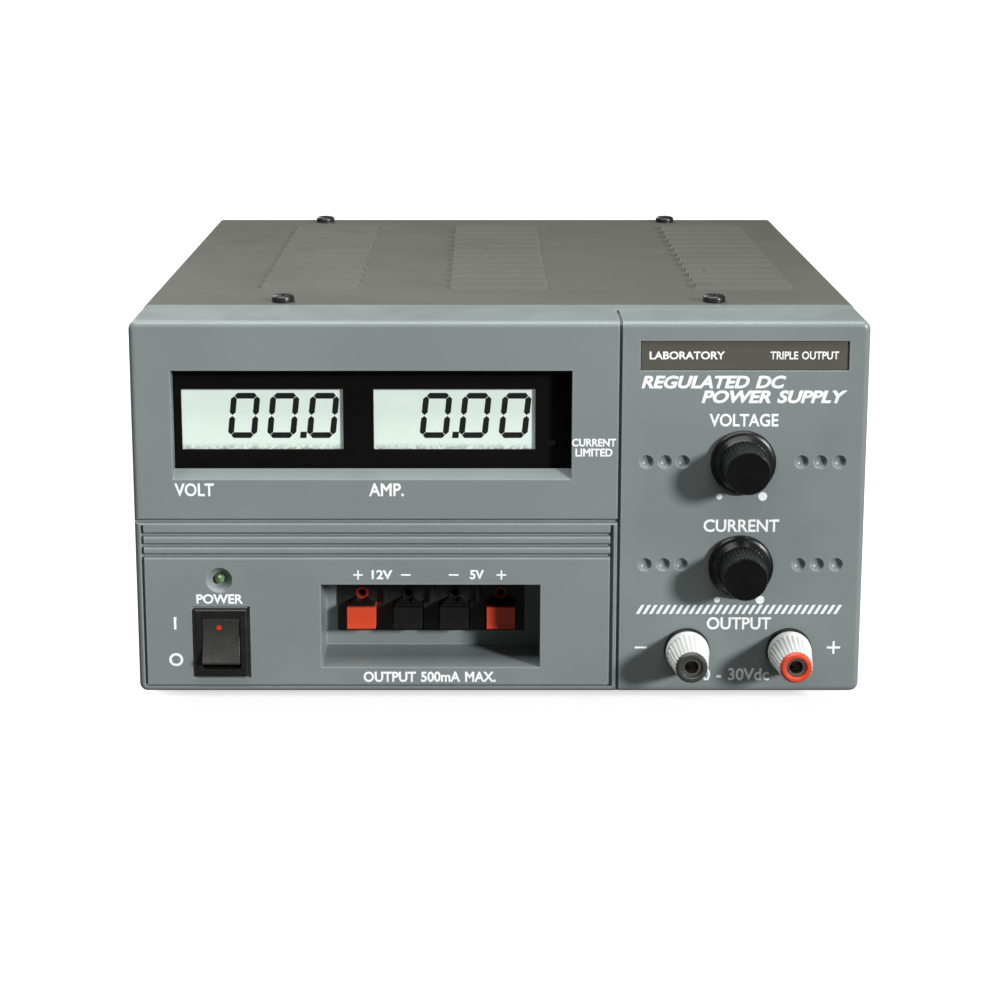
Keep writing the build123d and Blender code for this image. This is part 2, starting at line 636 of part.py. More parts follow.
control_back = CONTROL_BOARD_DEPTH + BOARD
for name, height in CONTROL_HEIGHTS.items():
    nodes[name + "_knob"] = knob(height)
    nodes[name + "_shaft"] = pot_shaft(height)
nodes["potentiometers"] = group([pot_body(height) for height in CONTROL_HEIGHTS.values()])
nodes["control_board"] = control_board()
board_fasteners += board_screws(CONTROL_BOSSES, control_back)

# ------------------------------------------------------------------ sheet case

FLANGE = 12.0
COVER_INNER = COVER_HALF_WIDTH - SHEET
PAN_HALF_WIDTH = COVER_INNER - GAP
FRONT_PLATE = 29.0
TOP_UNDERSIDE = FACE_HEIGHT - SHEET
CHASSIS_WINDOWS = (((-94.0, 30.0), (7.0, 50.0)), ((-90.0, 16.0), (58.0, 100.0)),
                   ((38.0, 94.0), (4.6, 100.0)))


def louvre(x, depth):
    """A pressed hood: a short rise in front, a long top, a mouth behind and sloping ends."""
    top = FACE_HEIGHT
    back = depth + 6.0
    low = top - 0.2
    profile = side_profile([(depth, low), (depth, top), (depth + 1.5, top + 0.85),
                            (back, top + LOUVRE_RISE), (back, low)], span(x, LOUVRE_WIDTH))
    left, right = span(x, LOUVRE_WIDTH)
    ends = front_profile([(left, low), (right, low), (right - 0.9, top + 2), (left + 0.9, top + 2)],
                         (depth - 1, back + 1))
    throat = side_profile([(depth + 1.8, top - 2), (depth + 1.8, top + 0.3),
                           (back + 0.2, top + LOUVRE_RISE - 0.6), (back + 0.2, top - 2)],
                          span(x, LOUVRE_WIDTH - 2.4))
    return profile & ends, throat


def top_cover():
    outer = block(span(0, 2 * COVER_HALF_WIDTH), (COVER_FRONT, CASE_DEPTH), (FLOOR_HEIGHT, FACE_HEIGHT))
    long_edges = outer.edges().filter_by(Axis.Y).group_by(Axis.Z)[-1]
    outer = fillet(long_edges, 1.6)
    inner = block(span(0, 2 * COVER_INNER), (0, CASE_DEPTH + 1), (0, TOP_UNDERSIDE))
    cover = outer - inner
    hoods = []
    throats = []
    for x in LOUVRE_XS:
        for row in range(LOUVRE_COUNT):
            hood, throat = louvre(x, LOUVRE_START + row * LOUVRE_PITCH)
            hoods.append(hood)
            throats.append(throat)
    holes = [upright(x, depth, (100, 120), COVER_HOLE) for x in SCREW_XS for depth in SCREW_DEPTHS]
    holes += [crossbar((side * 100, side * 110)[::side], depth, SIDE_SCREW_HEIGHT, COVER_HOLE)
              for side in (-1, 1) for depth in SIDE_SCREW_DEPTHS]
    return cover + hoods - throats - holes


def cover_screws():
    screw = pan_screw(3.45, 2.2, 1.6, 6.0)
    return [Pos(x, y_at(depth), z_at(FACE_HEIGHT)) * screw for x in SCREW_XS for depth in SCREW_DEPTHS]


def side_screws():
    screw = pan_screw(3.2, 1.8, 1.6, 5.0)
    return [Pos(side * COVER_HALF_WIDTH, y_at(depth), z_at(SIDE_SCREW_HEIGHT)) * Rot(0, side * 90, 0) * screw
            for side in (-1, 1) for depth in SIDE_SCREW_DEPTHS]


def base_pan():
    front = COVER_FRONT + 0.3
    floor = (FLOOR_HEIGHT, FLOOR_HEIGHT + PLATE)
    pan = block(span(0, 2 * PAN_HALF_WIDTH), (front, REAR_FACE - GAP), floor)
    for side in (-1, 1):
        wall = sorted((side * PAN_HALF_WIDTH, side * (PAN_HALF_WIDTH - PLATE)))
        pan += block(wall, (front, REAR_FACE - GAP), (FLOOR_HEIGHT, 15.0))
    for x in (-60.0, 57.0):
        for row in range(8):
            pan -= block(span(x, 34.0), span(88.0 + row * 9.0, 3.0), (0, 4))
    pan -= [upright(x, depth, (0, 5), BASE_HOLE) for x, depth in foot_places]
    pan -= [crossbar((side * 100, side * 110)[::side], depth, SIDE_SCREW_HEIGHT, COVER_HOLE)
            for side in (-1, 1) for depth in SIDE_SCREW_DEPTHS]
    pan -= [upright(x, depth, (0, 5), PANEL_HOLE) for x, depth in standoff_places]
    pan -= [upright(x, depth, (0, 5), BASE_HOLE) for x, depth in strap_bolt_places]
    return pan


def chassis_front():
    """The upright plate behind the bezel, with flanges at its top and foot."""
    depths = (FRONT_PLATE, FRONT_PLATE + PLATE)
    floor = FLOOR_HEIGHT + PLATE
    width = span(0, 204.0)
    flange_depths = (FRONT_PLATE, FRONT_PLATE + FLANGE)
    through = (FRONT_PLATE - 5, FRONT_PLATE + 5)
    plate = block(width, depths, (floor, TOP_UNDERSIDE))
    plate += block(width, flange_depths, (floor, floor + PLATE))
    plate += block(width, flange_depths, (TOP_UNDERSIDE - PLATE, TOP_UNDERSIDE))
    for xs, heights in CHASSIS_WINDOWS:
        plate -= block(xs, through, heights)
    plate -= [rod(x, height, through, 1.4 + GAP) for x, height in BOSS_PLACES]
    return plate - [upright(x, SCREW_DEPTHS[0], (100, 120), COVER_HOLE) for x in SCREW_XS]


def bezel_screws():
    screw = pan_screw(2.8, 1.8, 1.4, 10.0)
    return [facing_back(x, FRONT_PLATE + PLATE, height) * screw for x, height in BOSS_PLACES]


def rubber_foot(x, depth):
    shape = revolve(Plane.XZ * Polygon((2.2, 0), (7.6, 0), (9.0, FOOT_HEIGHT + FLOOR_HEIGHT),
                                       (2.2, FOOT_HEIGHT + FLOOR_HEIGHT), align=None), Axis.Z)
    well = Pos(0, 0, 1.25) * Cylinder(4.2, 2.5)
    return Pos(x, y_at(depth), 0) * (shape - well)


def foot_screw(x, depth):
    screw = pan_screw(3.6, 1.8, 2.0, 8.0)
    return Pos(x, y_at(depth), 2.5) * Rot(180, 0, 0) * screw


foot_places = [(x, depth) for x in FOOT_XS for depth in FOOT_DEPTHS]
standoff_places = [(x, depth) for x in (18.0, 96.0) for depth in (62.0, 190.0)]
strap_bolt_places = [(TRANSFORMER_X + side * 48.3, TRANSFORMER_DEPTH + end * 15.0)
                     for side in (-1, 1) for end in (-1, 1)]
nodes["top_cover"] = top_cover()
nodes["cover_screws"] = group(cover_screws() + side_screws())
nodes["base_pan"] = base_pan()
nodes["chassis_front"] = chassis_front()
chassis_fasteners = bezel_screws()
nodes["rubber_feet"] = group([rubber_foot(x, depth) for x, depth in foot_places])
chassis_fasteners += [foot_screw(x, depth) for x, depth in foot_places]

# ------------------------------------------------------------------ rear panel

SINK_SCREWS = [(x, height) for x in (-22.0, 88.0) for height in (22.0, 100.0)]
CAN_RADIUS = 10.0
TRANSISTOR_PITCH = 30.2
SINK_BASE = 4.0
SINK_FINS = 18
THROUGH_REAR = (200.0, 230.0)


def rear_panel():
    panel = block(span(0, 2 * PAN_HALF_WIDTH), (REAR_FACE, CASE_DEPTH), (FLOOR_HEIGHT, TOP_UNDERSIDE))
    panel += block(span(0, 200.0), (REAR_FACE - FLANGE, REAR_FACE), (TOP_UNDERSIDE - PLATE, TOP_UNDERSIDE))
    panel -= [upright(x, SCREW_DEPTHS[1], (100, 120), COVER_HOLE) for x in SCREW_XS]
    panel -= block(span(INLET_X, 27.4), THROUGH_REAR, span(INLET_HEIGHT, 34.4))
    panel -= block(span(SELECTOR_X, 17.4), THROUGH_REAR, span(SELECTOR_HEIGHT, 10.4))
    panel -= [rod(x, height, THROUGH_REAR, PANEL_HOLE) for x, height in SINK_SCREWS]
    panel -= [rod(x, height, THROUGH_REAR, PANEL_HOLE) for x, height in transistor_holes]
    return panel - [rod(x, height, THROUGH_REAR, PANEL_HOLE) for x, height in inlet_screw_places]


def heat_sink():
    sink = block(SINK_X, (CASE_DEPTH, CASE_DEPTH + SINK_BASE), SINK_HEIGHT)
    fin_depths = (CASE_DEPTH + SINK_BASE - 0.5, CASE_DEPTH + SINK_DEPTH)
    pitch = (SINK_X[1] - SINK_X[0] - 2.0) / (SINK_FINS - 1)
    for fin in range(SINK_FINS):
        left = SINK_X[0] + fin * pitch
        sink += block((left, left + 2.0), fin_depths, SINK_HEIGHT)
    for x, height in SINK_SCREWS + transistor_holes:
        sink -= rod(x, height, (CASE_DEPTH - 1, CASE_DEPTH + 3.2), PANEL_HOLE)
    return sink


def transistor_base(x, depths, grow):
    """The flat lozenge of a TO-3 case."""
    ears = span(x, TRANSISTOR_PITCH)
    middle = rod(x, TRANSISTOR_HEIGHT, depths, 12.5 + grow)
    ends = [rod(ear, TRANSISTOR_HEIGHT, depths, 4.3 + grow) for ear in ears]
    neck = block(ears, depths, span(TRANSISTOR_HEIGHT, 8.6 + 2 * grow))
    holes = [rod(ear, TRANSISTOR_HEIGHT, THROUGH_REAR, PANEL_HOLE) for ear in ears]
    return middle + neck + ends - holes


def power_transistor(x):
    back = REAR_FACE - 0.4
    can = rod(x, TRANSISTOR_HEIGHT, (back - 9.0, back - 1.8), CAN_RADIUS)
    return transistor_base(x, (back - 1.8, back), 0) + can


def panel_screw(x, height, depth, length):
    """A screw driven rearwards from inside the case."""
    screw = pan_screw(2.8, 1.8, 1.5, length)
    return Pos(x, y_at(depth), z_at(height)) * Rot(90, 0, 0) * screw


transistor_holes = [(ear, TRANSISTOR_HEIGHT) for x in TRANSISTOR_XS for ear in span(x, TRANSISTOR_PITCH)]
inlet_screw_places = [(INLET_X + side * 20.0, INLET_HEIGHT) for side in (-1, 1)]
nodes["rear_panel"] = rear_panel()
nodes["heat_sink"] = heat_sink()
nodes["power_transistors"] = group([power_transistor(x) for x in TRANSISTOR_XS])
nodes["transistor_insulators"] = group([transistor_base(x, (REAR_FACE - 0.4, REAR_FACE), 0.8)
                                        for x in TRANSISTOR_XS])
chassis_fasteners += [panel_screw(x, height, REAR_FACE, 4.5) for x, height in SINK_SCREWS]
chassis_fasteners += [panel_screw(x, height, REAR_FACE - 2.2, 6.5) for x, height in transistor_holes]

# --------------------------------------------------------- inlet and fuse drawer

INLET_FLANGE = 3.0
INLET_MOUTH = CASE_DEPTH + INLET_FLANGE
CAVITY_FLOOR = 205.0
CAVITY_HEIGHT = INLET_HEIGHT + 5.0
DRAWER_HEIGHT = INLET_HEIGHT - 11.0
DRAWER_SIZE = (22.0, 8.0)


def inlet_body():
    flange = block(span(INLET_X, 50.0), (CASE_DEPTH, INLET_MOUTH), span(INLET_HEIGHT, 37.0))
    flange = chamfer(flange.edges().filter_by(Axis.Y), 6.0)
    body = block(span(INLET_X, 27.0), (196.0, CASE_DEPTH + 1), span(INLET_HEIGHT, 34.0))
    cavity = block(span(INLET_X, 24.0), (CAVITY_FLOOR, INLET_MOUTH + 1), span(CAVITY_HEIGHT, 16.4))
    cavity = chamfer(cavity.edges().filter_by(Axis.Y).group_by(Axis.Z)[-1], 4.0)
    slot = block(span(INLET_X, DRAWER_SIZE[0] + 0.4), (199.0, INLET_MOUTH + 1),
                 span(DRAWER_HEIGHT, DRAWER_SIZE[1] + 0.4))
    holes = [rod(x, height, THROUGH_REAR, PANEL_HOLE) for x, height in inlet_screw_places]
    pin_slots = [block(span(x, 2.2), (190, 210), span(height, 4.2)) for x, height in inlet_pin_places]
    return flange + body - cavity - slot - holes - pin_slots


def fuse_drawer():
    tray = block(span(INLET_X, DRAWER_SIZE[0]), (199.4, INLET_MOUTH), span(DRAWER_HEIGHT, DRAWER_SIZE[1]))
    for depth in fuse_depths:
        tray -= block(span(INLET_X, 20.6), span(depth, 6.0), (DRAWER_HEIGHT - 3.0, DRAWER_HEIGHT + 5.0))
    grip = block(span(INLET_X, 10.0), (INLET_MOUTH, INLET_MOUTH + 1.2), span(DRAWER_HEIGHT, 2.0))
    return tray + grip


def fuse(depth):
    return crossbar(span(INLET_X, 20.0), depth, DRAWER_HEIGHT - 0.3, 2.6)


inlet_pin_places = [(INLET_X - 7.0, CAVITY_HEIGHT - 1.5), (INLET_X, CAVITY_HEIGHT + 2.0),
                    (INLET_X + 7.0, CAVITY_HEIGHT - 1.5)]
fuse_depths = (204.0, 212.0)
nodes["inlet_body"] = inlet_body()
nodes["inlet_pins"] = group([block(span(x, 2.0), (189.0, 218.0), span(height, 4.0))
                             for x, height in inlet_pin_places])
chassis_fasteners += [facing_back(x, INLET_MOUTH, height) * pan_screw(2.8, 1.6, 1.5, 6.0)
                      for x, height in inlet_screw_places]
nodes["fuse_drawer"] = fuse_drawer()
nodes["fuses"] = group([fuse(depth) for depth in fuse_depths])

# ------------------------------------------------------------ voltage selector


def selector_housing():
    frame = block(span(SELECTOR_X, 24.0), (CASE_DEPTH, CASE_DEPTH + 1.2), span(SELECTOR_HEIGHT, 13.0))
    body = block(span(SELECTOR_X, 17.0), (208.0, CASE_DEPTH + 0.5), span(SELECTOR_HEIGHT, 10.0))
    slot = block(span(SELECTOR_X, 13.4), (212.0, CASE_DEPTH + 2), span(SELECTOR_HEIGHT, 6.4))
    return frame + body - slot


def selector_slider():
    """A tongue with a finger slot, resting at the left end of its travel."""
    left = SELECTOR_X - 6.5
    tongue = block((left, left + 8.0), (212.2, CASE_DEPTH + 0.6), span(SELECTOR_HEIGHT, 6.0))
    slot = block(span(left + 4.0, 1.4), (CASE_DEPTH - 1.0, CASE_DEPTH + 2), span(SELECTOR_HEIGHT, 4.4))
    return tongue - slot


nodes["selector_housing"] = selector_housing()
nodes["selector_slider"] = selector_slider()

# ------------------------------------------------------------------ transformer

STRAP = 1.5
WINDOW_WIDTH = 14.0
WINDOW_HEIGHT = 42.0
LEG_WIDTH = 28.0
CORE_FLOOR = FLOOR_HEIGHT + PLATE + 0.5


def core():
    x, depth = TRANSFORMER_X, TRANSFORMER_DEPTH
    stack = block(span(x, CORE[0]), span(depth, CORE[1]), (CORE_FLOOR, CORE_FLOOR + CORE[2]))
    middle = CORE_FLOOR + CORE[2] / 2
    offset = (LEG_WIDTH + WINDOW_WIDTH) / 2
    for side in (-1, 1):
        window = span(x + side * offset, WINDOW_WIDTH)
        stack -= block(window, span(depth, CORE[1] + 2), span(middle, WINDOW_HEIGHT))
    return stack


def winding():
    x, depth = TRANSFORMER_X, TRANSFORMER_DEPTH
    middle = CORE_FLOOR + CORE[2] / 2
    width = LEG_WIDTH + 2 * WINDOW_WIDTH - 1.6
    coil = block(span(x, width), span(depth, CORE[1] + 26), span(middle, WINDOW_HEIGHT - 1))
    coil = fillet(coil.edges().filter_by(Axis.Z), 6.0)
    leg = block(span(x, LEG_WIDTH + 0.6), span(depth, CORE[1] + 0.6), span(middle, WINDOW_HEIGHT + 2))
    return coil - leg


def strap():
    """A bent steel strap over the core, with two feet."""
    x, depth = TRANSFORMER_X, TRANSFORMER_DEPTH
    half = CORE[0] / 2
    top = CORE_FLOOR + CORE[2]
    floor = FLOOR_HEIGHT + PLATE
    outer = block(span(x, CORE[0] + 2 * STRAP), span(depth, 40.0), (floor, top + STRAP))
    inner = block(span(x, CORE[0]), span(depth, 42.0), (0, top))
    feet = [block(span(x + side * (half + STRAP + 4.9), 9.8), span(depth, 40.0), (floor, floor + STRAP))
            for side in (-1, 1)]
    holes = [upright(bolt_x, bolt_depth, (0, 10), BASE_HOLE) for bolt_x, bolt_depth in strap_bolt_places]
    return outer - inner + feet - holes


def strap_bolt(x, depth):
    bolt = pan_screw(3.4, 2.0, 2.0, 6.5)
    return Pos(x, y_at(depth), z_at(FLOOR_HEIGHT + PLATE + STRAP)) * bolt


nodes["transformer_core"] = core()
nodes["transformer_winding"] = winding()
nodes["transformer_strap"] = strap()
chassis_fasteners += [strap_bolt(x, depth) for x, depth in strap_bolt_places]

# ------------------------------------------------------------------- main board

BOARD_TOP = BOARD_HEIGHT + BOARD
CAPACITORS = ((34.0, 84.0), (76.0, 84.0))
CAPACITOR_RADIUS = 17.0
SMALL_CAPACITORS = ((24.0, 112.0), (38.0, 112.0), (70.0, 160.0), (84.0, 160.0))
RELAYS = ((36.0, 178.0), (60.0, 178.0))
REGULATOR_XS = (42.0, 72.0)


def main_board():
    board = block(BOARD_X, BOARD_DEPTHS, (BOARD_HEIGHT, BOARD_TOP))
    return board - [upright(x, depth, (10, 16), PANEL_HOLE) for x, depth in standoff_places]


def standoff(x, depth):
    pillar = upright(x, depth, (FLOOR_HEIGHT + PLATE, BOARD_HEIGHT), 3.0)
    return pillar - upright(x, depth, (6.0, 13.0), PANEL_HOLE)


def electrolytic(x, depth, radius, height):
    can = upright(x, depth, (BOARD_TOP, BOARD_TOP + height), radius)
    return fillet(can.edges().group_by(Axis.Z)[-1], radius * 0.12)


def board_heat_sink():
    """A folded aluminium sink that the two fixed-voltage regulators bolt to."""
    back = block((24.0, 90.0), (128.0, 130.0), (BOARD_TOP, BOARD_TOP + 38))
    wings = [block(xs, (130.0, 146.0), (BOARD_TOP, BOARD_TOP + 38)) for xs in ((24.0, 26.0), (88.0, 90.0))]
    return back + wings


def bridge_rectifier():
    return block(span(56.0, 26.0), span(112.0, 8.0), (BOARD_TOP, BOARD_TOP + 22.0))


def relay(x, depth):
    return block(span(x, 19.0), span(depth, 15.0), (BOARD_TOP, BOARD_TOP + 15.5))


def regulator(x):
    tab = block(span(x, 10.0), (126.7, 128.0), (BOARD_TOP + 3, BOARD_TOP + 18.0))
    case = block(span(x, 10.0), (123.5, 126.7), (BOARD_TOP + 3, BOARD_TOP + 12.0))
    legs = [block(span(x + step * 2.54, 0.8), (125.0, 125.5), (BOARD_TOP, BOARD_TOP + 3))
            for step in (-1, 0, 1)]
    return tab + case + legs


nodes["main_board"] = main_board()
board_fasteners += [standoff(x, depth) for x, depth in standoff_places]
board_fasteners += [Pos(x, y_at(depth), z_at(BOARD_TOP)) * pan_screw(2.8, 1.8, 1.5, 6.0)
                    for x, depth in standoff_places]
nodes["board_fasteners"] = group(board_fasteners)
nodes["chassis_screws"] = group(chassis_fasteners)
nodes["filter_capacitors"] = group(
    [electrolytic(x, depth, CAPACITOR_RADIUS, 48.0) for x, depth in CAPACITORS]
    + [electrolytic(x, depth, 5.0, 14.0) for x, depth in SMALL_CAPACITORS])
nodes["moulded_components"] = group(
    meter_chips + [bridge_rectifier()] + [relay(x, depth) for x, depth in RELAYS]
    + [regulator(x) for x in REGULATOR_XS])
nodes["board_heat_sink"] = board_heat_sink()

# ----------------------------------------------------------------------- wiring

WIRE_RADIUS = 0.9


def wire(points, radius):
    """An insulated wire along straight runs joined by arcs."""
    places = [(x, y_at(depth), z_at(height)) for x, depth, height in points]
    route = FilletPolyline(*places, radius=radius)
    section = Plane(origin=places[0], z_dir=route % 0) * Circle(WIRE_RADIUS)
    return sweep(section, path=route)


def output_lead(x):
    """From a solder lug straight back, then up and down on to the board."""
    tail = POST_HEIGHT - 7.4
    over = BOARD_TOP + 8.0
    return wire([(x, WALL + 1.5 + LUG, tail), (x, 50.0, tail), (x, 50.0, over), (x, 60.0, over),
                 (x, 60.0, BOARD_TOP)], 3.5)


def mains_lead(pin, blade, rise):
    """From an inlet pin forward along the left wall to a switch blade."""
    x, height = pin
    wall_x = -101.0
    end_x, end_height = blade
    return wire([(x, 189.0, height), (x, 172.0, height), (wall_x, 160.0, height + rise),
                 (wall_x, 60.0, height + rise), (end_x, 40.0, end_height), (end_x, 25.5, end_height)], 6.0)


def winding_lead(x, depth, height):
    """From the transformer's winding across to the board's near corner."""
    end_x = BOARD_X[0] + 2.5
    return wire([(x, TRANSFORMER_DEPTH - CORE[1] / 2 - 13.0, height), (x, depth, height),
                 (end_x, depth, height - 14.0), (end_x, depth, BOARD_TOP)], 4.5)


switch_x, switch_height = SWITCH_CENTRE
leads = [output_lead(x) for x in POST_XS.values()]
leads.append(mains_lead(inlet_pin_places[0], (switch_x - 3.5, switch_height + 5.0), 0.0))
leads.append(mains_lead(inlet_pin_places[2], (switch_x + 3.5, switch_height - 5.0), 5.0))
leads.append(winding_lead(-34.0, 69.0, 44.0))
leads.append(winding_lead(-42.0, 74.0, 50.0))
nodes["internal_leads"] = group(leads)

os.makedirs("parts", exist_ok=True)
for node_name, shape in nodes.items():
    export_step(shape, "parts/" + node_name + ".step")
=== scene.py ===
import json
import math

import bmesh
import bpy
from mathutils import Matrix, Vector


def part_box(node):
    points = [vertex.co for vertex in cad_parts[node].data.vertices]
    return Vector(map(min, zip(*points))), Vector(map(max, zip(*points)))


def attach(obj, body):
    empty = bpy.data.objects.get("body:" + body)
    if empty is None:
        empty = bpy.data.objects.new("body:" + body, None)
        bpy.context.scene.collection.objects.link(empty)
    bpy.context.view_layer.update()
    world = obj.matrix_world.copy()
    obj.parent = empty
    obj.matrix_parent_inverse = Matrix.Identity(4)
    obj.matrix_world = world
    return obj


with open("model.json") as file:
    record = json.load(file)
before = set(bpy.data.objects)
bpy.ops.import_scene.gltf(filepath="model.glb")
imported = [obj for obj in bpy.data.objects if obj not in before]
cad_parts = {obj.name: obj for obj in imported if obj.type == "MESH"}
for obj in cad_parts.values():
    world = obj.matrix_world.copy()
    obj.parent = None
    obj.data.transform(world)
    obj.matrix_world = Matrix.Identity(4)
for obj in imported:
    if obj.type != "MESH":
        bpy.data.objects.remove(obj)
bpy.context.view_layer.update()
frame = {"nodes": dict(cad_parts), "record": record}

# Looks of the bench power supply. Lengths are in metres, in the part's frame:
# +X to the right of the front panel, +Y to the back, +Z up.
MM = 0.001
nodes = frame["nodes"]


# ------------------------------------------------------------------ measures

def middle(node):
    """The centre of a node's box."""
    low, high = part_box(node)
    return (low + high) / 2


bezel_low, bezel_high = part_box("front_bezel")
FACE_Y = bezel_low.y
FACE_BOTTOM = bezel_low.z
FACE_TOP = bezel_high.z
PRINT_LIFT = 0.03 * MM


# ----------------------------------------------------------------- materials

def srgb(red, green, blue):
    """A linear colour from display values of 0 to 255."""
    channels = []
    for value in (red, green, blue):
        v = value / 255
        channels.append(v / 12.92 if v <= 0.04045 else ((v + 0.055) / 1.055) ** 2.4)
    return (*channels, 1.0)


class Surface:
    """A Principled material whose variation comes from noise in the object's own space."""

    def __init__(self, name, roughness=0.5, metallic=0.0, **sockets):
        self.material = bpy.data.materials.new(name)
        self.material.use_nodes = True
        self.tree = self.material.node_tree
        self.shader = self.tree.nodes["Principled BSDF"]
        self.shader.inputs["Roughness"].default_value = roughness
        self.shader.inputs["Metallic"].default_value = metallic
        for socket, value in sockets.items():
            self.shader.inputs[socket.replace("_", " ")].default_value = value
        self.place = self.node("ShaderNodeTexCoord").outputs["Object"]

    def node(self, kind, **settings):
        made = self.tree.nodes.new(kind)
        for key, value in settings.items():
            setattr(made, key, value)
        return made

    def feed(self, socket, value):
        """Links an output, or sets a constant."""
        if isinstance(value, bpy.types.NodeSocket):
            self.tree.links.new(value, socket)
        else:
            socket.default_value = value

    def noise(self, size, detail=3.0, stretch=(1, 1, 1), distortion=0.0):
        """Soft noise whose blotches are about this many metres across."""
        mapping = self.node("ShaderNodeMapping")
        mapping.inputs["Scale"].default_value = stretch
        self.feed(mapping.inputs["Vector"], self.place)
        noise = self.node("ShaderNodeTexNoise")
        self.feed(noise.inputs["Vector"], mapping.outputs["Vector"])
        noise.inputs["Scale"].default_value = 1 / size
        noise.inputs["Detail"].default_value = detail
        noise.inputs["Distortion"].default_value = distortion
        return noise.outputs["Fac"]

    def cells(self, size, feature="F1"):
        """Distance inside cells that are about this many metres across."""
        voronoi = self.node("ShaderNodeTexVoronoi", feature=feature)
        self.feed(voronoi.inputs["Vector"], self.place)
        voronoi.inputs["Scale"].default_value = 1 / size
        return voronoi.outputs["Distance"]

    def spread(self, value, low, high, to_low=0.0, to_high=1.0):
        """Stretches part of a value's range over another."""
        node = self.node("ShaderNodeMapRange")
        self.feed(node.inputs["Value"], value)
        node.inputs["From Min"].default_value = low
        node.inputs["From Max"].default_value = high
        node.inputs["To Min"].default_value = to_low
        node.inputs["To Max"].default_value = to_high
        return node.outputs["Result"]

    def maths(self, operation, a, b):
        node = self.node("ShaderNodeMath", operation=operation)
        self.feed(node.inputs[0], a)
        self.feed(node.inputs[1], b)
        return node.outputs["Value"]

    def blend(self, share, a, b):
        node = self.node("ShaderNodeMix", data_type="RGBA")
        self.feed(node.inputs["Factor"], share)
        self.feed(node.inputs[6], a)
        self.feed(node.inputs[7], b)
        return node.outputs[2]

    def edges(self, radius):
        """1 near sharp edges and 0 on flat faces."""
        bevel = self.node("ShaderNodeBevel", samples=4)
        bevel.inputs["Radius"].default_value = radius
        normal = self.node("ShaderNodeNewGeometry").outputs["Normal"]
        dot = self.node("ShaderNodeVectorMath", operation="DOT_PRODUCT")
        self.feed(dot.inputs[0], bevel.outputs["Normal"])
        self.feed(dot.inputs[1], normal)
        return self.spread(dot.outputs["Value"], 0.99, 0.80)

    def coordinate(self, axis):
        """One coordinate in the object's own space."""
        split = self.node("ShaderNodeSeparateXYZ")
        self.feed(split.inputs["Vector"], self.place)
        return split.outputs[axis]

    def relief(self, layers, bevel_radius=0.0):
        """Bump from (height value, depth in metres) layers, over rounded edges."""
        normal = None
        if bevel_radius:
            bevel = self.node("ShaderNodeBevel", samples=4)
            bevel.inputs["Radius"].default_value = bevel_radius
            normal = bevel.outputs["Normal"]
        for height, depth in layers:
            bump = self.node("ShaderNodeBump")
            bump.inputs["Distance"].default_value = depth
            self.feed(bump.inputs["Height"], height)
            if normal is not None:
                self.feed(bump.inputs["Normal"], normal)
            normal = bump.outputs["Normal"]
        self.feed(self.shader.inputs["Normal"], normal)

    def colour(self, value):
        self.feed(self.shader.inputs["Base Color"], value)

    def roughness(self, value):
        self.feed(self.shader.inputs["Roughness"], value)


def scaled(colour, factor):
    """The same colour, lighter or darker."""
    return (*[channel * factor for channel in colour[:3]], 1.0)


def moulded(name, colour, roughness=0.45, grain=0.0004, grain_depth=0.00001, edge_highlight_gain=1.25, **sockets):
    """Moulded plastic: faint cloudiness, a fine eroded grain and a painted highlight along its edges."""
    s = Surface(name, **sockets)
    cloud = s.noise(0.03, 4.0)
    body = s.blend(cloud, scaled(colour, 0.90), scaled(colour, 1.10))
    # Painted highlight: sharp edges are painted lighter than the body.
    s.colour(s.blend(s.maths("MULTIPLY", s.edges(0.0006), 0.5), body, scaled(colour, edge_highlight_gain)))
    s.roughness(s.spread(s.noise(0.008, 3.0), 0.3, 0.7, roughness - 0.05, roughness + 0.06))
    s.relief([(s.noise(grain, 2.0), grain_depth)], 0.00025)
    return s.material


def bezel_plastic():
    """Blue-grey ABS: satin, with glossier patches from handling, fine scratches and a painted highlight along
    its edges.
    """
    colour = srgb(125, 134, 133)
    s = Surface("bezel_plastic", Specular_IOR_Level=0.5)
    cloud = s.spread(s.noise(0.05, 5.0, distortion=0.6), 0.3, 0.7)
    body = s.blend(cloud, scaled(colour, 0.93), scaled(colour, 1.06))
    dust = s.spread(s.noise(0.0016, 2.0), 0.70, 0.76)
    body = s.blend(s.maths("MULTIPLY", dust, 0.12), body, scaled(colour, 0.6))
    # Painted highlight: sharp edges are painted almost twice as light as the body.
    painted_edge_highlight = s.maths("MULTIPLY", s.edges(0.0009), 0.5)
    s.colour(s.blend(painted_edge_highlight, body, scaled(colour, 1.9)))
    patches = s.spread(s.noise(0.022, 5.0, distortion=1.2), 0.35, 0.7, 0.28, 0.42)
    s.roughness(patches)
    scratch = s.spread(s.noise(0.004, 2.0, stretch=(0.15, 1, 3.0)), 0.68, 0.72)
    s.relief([(s.noise(0.00045, 2.0), 0.000012), (scratch, -0.000006)], 0.0003)
    return s.material


